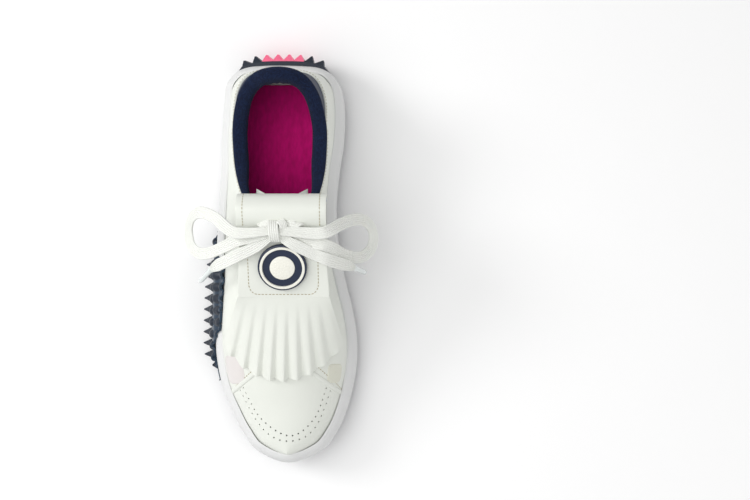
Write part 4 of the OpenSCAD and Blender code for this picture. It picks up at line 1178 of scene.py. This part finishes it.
LINING_OUT = [[0.955, 0.25], [0.97, 0.3], [0.985, 0.7], [0.998, 2.4], [1, 4.8], [0.99, 7.6],
    [0.96, 9.4], [0.9, 10.2], [0.8, 9.6], [0.66, 6.6], [0.5, 4.6], [0.3, 4.1], [0.08, 4]]
LINING_IN = [[0.955, 1.5], [0.965, 1.5], [0.976, 1.8], [0.984, 3], [0.985, 4.9], [0.977, 6.9],
    [0.952, 8.4], [0.9, 9.2], [0.8, 8.6], [0.66, 5.6], [0.5, 3.7], [0.3, 3.3], [0.08, 3.2]]
COLLAR_END = 8.8
PAD_FROM = 2.4


def collar():
    """Padded knit collar, rolled over the top line and down inside the shoe."""
    t = np.linspace(0, len(LINING_OUT) - 1, 64)
    outer, inner = spline(LINING_OUT, t), spline(LINING_IN, t)
    section = np.concatenate([outer, inner[::-1]])
    ws = np.linspace(-COLLAR_END, COLLAR_END, 330)
    w, k = np.meshgrid(ws, np.arange(len(section)), indexing="ij")
    v, depth = section[k, 0], section[k, 1]
    thin = lerp(1, 0.3, smooth((np.abs(w) - 6.5) / 2.3))
    depth = np.minimum(depth, PAD_FROM) + np.maximum(0, depth - PAD_FROM) * thin
    grid = round_heel(w, np.minimum(v, 1), depth)
    # Soft folds where the padding bends round the heel and creases lower down inside
    inside = smooth((depth - 5) / 3) * smooth((k < len(t)) * 1.0)
    crease = 0.45 * np.sin(w * 9 + 2 * np.sin(w * 3)) * inside * smooth((0.95 - v) / 0.2)
    middle = np.array([2.0, 60.0])
    toward = unit(middle - grid[..., :2])
    grid[..., :2] += toward * crease[..., None]
    obj = make("collar_knit", place(grid.reshape(-1, 3)), capped_tube(*grid.shape[:2]), KNIT,
               uv=arc_uv(grid).reshape(-1, 2), slot="knit_navy", angle=60)
    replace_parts(closed(obj), "collar_lining")


def patch(side, name, node, u0, u1, v0, v1, material):
    """A thin label with rounded corners, laid on a quarter."""
    def at(a, b):
        # Squares the disc: a is the way round, b the way out
        power = 5.0
        c, s = np.cos(a), np.sin(a)
        r = b / (np.abs(c) ** power + np.abs(s) ** power) ** (1 / power)
        u = lerp(u0, u1, (r * c + 1) / 2)
        v = lerp(v0, v1, (r * s + 1) / 2)
        lift = 0.5 * np.minimum(1, (1 - b) * 14 + 0.05)
        return layer(side, u, v, -lift)

    rows = np.linspace(0, 2 * math.pi, 65)[:-1]
    ring = grid_of(rows, np.array([0.02, 0.3, 0.6, 0.85, 0.93, 0.97, 1.0]), at)
    bottom = grid_of(rows, np.array([1.0]), lambda a, b: at(a, b) - normal(side, (u0 + u1) / 2,
                                                                     (v0 + v1) / 2) * 0.3)
    grid = np.concatenate([ring, bottom], 1)
    n, m = grid.shape[:2]
    faces = quads(n, m, close_rows=True)
    faces += [tuple(i * m for i in range(n)), tuple(i * m + m - 1 for i in range(n - 1, -1, -1))]
    obj = closed(make(name, place(grid.reshape(-1, 3)), faces, material, slot="label_film",
                      uv=arc_uv(grid).reshape(-1, 2)))
    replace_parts(obj, node)


# ---------------------------------------------------------------- tongue and kiltie
TONGUE = [[95, 83, 15], [106, 86, 15.5], [118, 86, 15], [128, 84, 14.5], [142, 79, 14],
    [158, 73, 13.5], [180, 66, 12.5], [200, 60, 11], [212, 56.8, 10]]
TONGUE_X = 3.2
TONGUE_ARCH = 10


def tongue_point(t, a, depth=0.0):
    p = spline(TONGUE, t)
    notch = smooth(1 - t / 2.2)
    return np.stack([TONGUE_X + a * p[..., 2] * (1 + 0.12 * notch),
                     p[..., 0] + notch * (6.0 + 10 * (1 - np.abs(a))),
                     p[..., 1] - TONGUE_ARCH * a * a * (p[..., 2] / 20) ** 2 - depth], -1)


def tongue():
    rows, columns = np.linspace(0, 8, 70), np.linspace(-1, 1, 33)
    top = sheet("tongue_leather", grid_of(rows, columns, tongue_point), WHITE, thick=1.1, bevel=0.3,
                out=(0, 0, 1), slot="leather_white")
    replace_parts(top, "tongue")

    pad = sheet("tongue_knit", grid_of(rows, columns, lambda t, a: tongue_point(t, a * 0.97, 1.2)),
                KNIT, thick=2.4, bevel=0.8, out=(0, 0, 1), slot="knit_navy")
    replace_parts(pad, "tongue_padding")


# The rear fold (first four rows) is drawn further forward than the CAD has it
STRAP = [[110, 90], [108.2, 95.5], [108.2, 101.5], [110.8, 106.8], [116.5, 110.3], [122.5, 109],
    [128, 104.4], [133, 101.2], [142, 96.95], [152, 92.2], [162, 87.45], [171.8, 82.8]]
KILTIE_X = 5
KILTIE_W = 56
KILTIE_T = 1.3
STRAP_CROWN = 1.1
NARROW = 1.1
WIDEN = 2.2
LACE_HOLES = [-8, 18]
LACE_HOLE_S = 126.5
HINGE_S, HINGE_Z = 172.1, 83.8
FRINGE_TOP = [171.5, 84.25]
HEM_S, HEM_Z, HEM_X, HEM_HALF, HEM_LIFT, HEM_DROP = 227, 62, 2.2, 41, 24, 11
PLEATS = 9
PLEAT_DEPTH = 1.5
RIDGE = 0.64


def strap_half(s):
    return KILTIE_W / 2 + 0.4 - NARROW * smooth((s - 129) / 2.5) + WIDEN * smooth((s - 135) / 37)


def strap_point(t, a, offset=0.0):
    """Point of the folded strap: t along it, a across; offset > 0 is towards its inside."""
    p = spline(STRAP, t)
    ahead, behind = spline(STRAP, np.minimum(t + 0.04, 11)), spline(STRAP, np.maximum(t - 0.04, 0))
    tangent = unit(ahead - behind)
    drop = STRAP_CROWN * np.abs(a) ** 3 * smooth((t - 2) / 3) * smooth((11 - t) / 2.5) + offset
    half = strap_half(p[..., 0])
    return np.stack([KILTIE_X + a * half, p[..., 0] + tangent[..., 1] * drop,
                     p[..., 1] - tangent[..., 0] * drop], -1)


def kiltie_strap():
    rows, columns = np.linspace(0, 11, 150), np.linspace(-1, 1, 41)
    holes = [np.array([x, LACE_HOLE_S, 106.0]) for x in LACE_HOLES]
    outer = sheet("strap_leather", grid_of(rows, columns, lambda t, a: strap_point(t, a, -KILTIE_T)),
                  WHITE, thick=KILTIE_T, bevel=0.35, out=(0, 0, 1), slot="leather_white")
    punch(outer, holes, [(0, 0, 1)] * 2, [2.4] * 2, length=14.0, sides=22)
    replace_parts(outer, "kiltie_strap")
    inner = sheet("strap_suede", grid_of(np.linspace(0, 9, 120), columns * 0.985,
                                         lambda t, a: strap_point(t, a, 0.06)),
                  SUEDE, thick=0.8, bevel=0.2, out=(0, 0, 1), slot="kiltie_backing")
    lean = math.radians(MEDALLION_LEAN)
    punch(inner, holes + [np.array(MEDALLION)], [(0, 0, 1)] * 2 + [(0, math.sin(lean), math.cos(lean))],
          [2.4, 2.4, 3.8], length=14.0, sides=22)
    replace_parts(inner, "kiltie_lining")

    def on_strap(points):
        """(x, t) pairs on the strap's outer face."""
        x, t = np.array(points, float).T
        s = spline(STRAP, t)[:, 0]
        return strap_point(t, (x - KILTIE_X) / strap_half(s), -KILTIE_T)

    seams = []
    look = (0, 0.42, 0.9)
    upper_rows = np.linspace(2.0, 6.2, 30)
    for k, x in enumerate((KILTIE_X - 24.2, KILTIE_X + 24.2)):
        seams.append(stitches("strap_side_%d" % k, on_strap([(x, t) for t in upper_rows]),
                              [(0, -0.6, 0.8), (0, 0, 1), (0, 0.5, 0.85)]))
    left, right, bottom, corner = KILTIE_X - 22.2, KILTIE_X + 22.6, 10.72, 0.62
    arc_x = corner * 9.8
    route = [(left, t) for t in np.linspace(6.6, bottom - corner, 24)]
    route += [(left + arc_x * (1 - math.cos(q)), bottom - corner * (1 - math.sin(q)))
              for q in np.linspace(0, math.pi / 2, 8)[1:]]
    route += [(x, bottom) for x in np.linspace(left + arc_x, right - arc_x, 20)[1:]]
    route += [(right - arc_x * (1 - math.sin(q)), bottom - corner * (1 - math.cos(q)))
              for q in np.linspace(0, math.pi / 2, 8)[1:]]
    route += [(right, t) for t in np.linspace(bottom - corner, 6.6, 24)[1:]]
    seams.append(stitches("strap_u", on_strap(route), look))
    join(seams, "strap_seams")


def fringe_point(a, b, fold, zig):
    """a from -1 (lateral) to 1 (medial), b from 0 (hinge) to 1 (hem)."""
    x0, x1 = KILTIE_X + strap_half(HINGE_S) * a, HEM_X + HEM_HALF * a
    s1 = HEM_S - HEM_LIFT * np.abs(a) ** 2.2 + zig
    z1 = HEM_Z - HEM_DROP * a * a
    lift = fold * PLEAT_DEPTH * smooth((b - 0.05) * 2.4)
    return np.stack([lerp(x0, x1, b), lerp(FRINGE_TOP[0], s1, b),
                     lerp(FRINGE_TOP[1], z1, b) + lift], -1)


def kiltie_fringe():
    """Pleated leather fringe with a pinked hem, hinged on the strap's fold."""
    per_pleat = 12
    columns = np.linspace(-1, 1, PLEATS * per_pleat + 1)
    rows = np.concatenate([np.linspace(0, 0.12, 7), np.linspace(0.15, 0.9, 26), np.linspace(0.92, 1, 6)])

    def at(b, a):
        # Each pleat rises over a broad back to its ridge and drops down a short flank
        phase = (a + 1) / 2 * PLEATS % 1.0
        back = np.minimum(1, phase / RIDGE)
        flank = np.maximum(0, phase - RIDGE) / (1 - RIDGE)
        fold = np.where(phase < RIDGE, -1 + 2 * np.sin(math.pi / 2 * back) ** 1.2,
                        np.cos(math.pi * flank))
        fold = lerp(0.35 * fold, fold, smooth((b - 0.25) / 0.75))
        zig = 2.9 * (np.where(phase < RIDGE, back, 1 - flank) - 0.6) * smooth((b - 0.82) / 0.18)
        return fringe_point(a, b, fold, zig)

    obj = sheet("fringe_leather", grid_of(rows, columns, at), WHITE, thick=1.2, bevel=0.25,
                out=(0, 0, 1), body=None, slot="leather_white")
    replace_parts(obj, "kiltie_fringe")
    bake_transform(obj)


# ---------------------------------------------------------------- medallion
MEDALLION = [5, 152, 92.2]
MEDALLION_LEAN = 25.4


def on_medallion(points):
    """Local points (x across, y towards the heel, z out of the leather) to the frame."""
    p = np.asarray(points, float)
    lean = math.radians(MEDALLION_LEAN)
    y = p[..., 1] * math.cos(lean) - p[..., 2] * math.sin(lean)
    z = p[..., 1] * math.sin(lean) + p[..., 2] * math.cos(lean)
    return np.stack([p[..., 0], y, z], -1) / 1000 + place(MEDALLION)


def lathe(name, profile, material, slot, sides=96, height=None):
    """A turned piece from [radius, height] pairs; height adds relief at x, y."""
    angles = np.linspace(0, 2 * math.pi, sides + 1)[:-1]
    profile = np.array(profile, float)
    r, h = profile[:, 0][:, None], profile[:, 1][:, None]
    x, y = r * np.cos(angles), r * np.sin(angles)
    z = np.broadcast_to(h, x.shape).copy()
    if height is not None:
        z += height(x, y)
    grid = np.stack([x, y, z], -1)
    return closed(make(name, on_medallion(grid.reshape(-1, 3)), capped_tube(*grid.shape[:2]),
                       material, slot=slot, angle=35))


def medallion():
    lift = KILTIE_T + 0.05
    base = lathe("medallion_disc", [[0.4, lift + 0.02], [14.6, lift + 0.02], [15.4, lift + 0.3],
        [15.7, lift + 0.9], [15.7, lift + 2.5], [15.45, lift + 3.05], [14.9, lift + 3.3],
        [14.2, lift + 3.3], [13.9, lift + 3.0], [12.9, lift + 2.7], [12.4, lift + 2.7],
        [8.4, lift + 2.75], [0.4, lift + 2.75]], BADGE_NAVY, "medallion_navy")
    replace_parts(base, "medallion_base")
    ring = lathe("medallion_band", [[12.7, lift + 2.4], [14.3, lift + 2.4], [14.4, lift + 3.6],
        [14.15, lift + 3.85], [13.0, lift + 3.85], [12.75, lift + 3.6], [12.7, lift + 2.41]],
        BADGE_WHITE, "medallion_white")
    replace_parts(ring, "medallion_ring")
    dimples = [(7.3 * math.sqrt((k + 0.5) / 42) * math.cos(k * 2.39996),
                7.3 * math.sqrt((k + 0.5) / 42) * math.sin(k * 2.39996)) for k in range(42)]

    def dimple(x, y):
        depth = np.zeros(x.shape)
        for cx, cy in dimples:
            away = np.hypot(x - cx, y - cy) / 0.56
            depth = np.maximum(depth, 0.24 * np.maximum(0, 1 - away ** 2))
        edge = smooth((8.0 - np.hypot(x, y)) / 0.8)
        return -depth * edge

    radii = np.linspace(7.9, 0.05, 62)
    dome = [[7.9, lift + 2.5], [8.0, lift + 2.9]]
    dome += [[r, lift + 3.0 + 0.95 * math.sqrt(max(0, 1 - (r / 8.1) ** 2))] for r in radii]
    ball = lathe("medallion_ball", dome, BADGE_WHITE, "medallion_white", sides=150, height=dimple)
    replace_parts(ball, "medallion_emblem")


# ---------------------------------------------------------------- hidden CAD nodes
CAD_MATERIALS = {"midsole_core": CORE, "shank": SHANK, "insole_board": BOARD, "insole_foam": CORE,
    "toe_puff": PUFF, "vamp_lining": LINING, "heel_counter": BOARD, "collar_foam": CORE,
    "eyestay_lateral": LINING, "eyestay_medial": LINING, "medallion_rivet": STEEL}


def dress_cad():
    for node, material in CAD_MATERIALS.items():
        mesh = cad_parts[node].data
        mesh.materials.clear()
        mesh.materials.append(material)


camera_and_light()
laces()
knot_piece()
rungs()
sole()
side_wing()
midsole()
insole()
quarter(0, "quarter_leather_lateral", "quarter_lateral")
quarter(1, "quarter_leather_medial", "quarter_medial")
edge_roll(0, "edge_roll_lateral")
edge_roll(1, "edge_roll_medial")
vamp()
heel_tab()
collar()
patch(0, "label_outer", "label_lateral", 13.62, 14.82, 0.20, 0.56, LABEL)
patch(1, "label_inner", "label_medial", 13.95, 14.8, 0.26, 0.50, LABEL_CREAM)
tongue()
kiltie_strap()
kiltie_fringe()
medallion()
dress_cad()

bpy.context.view_layer.update()
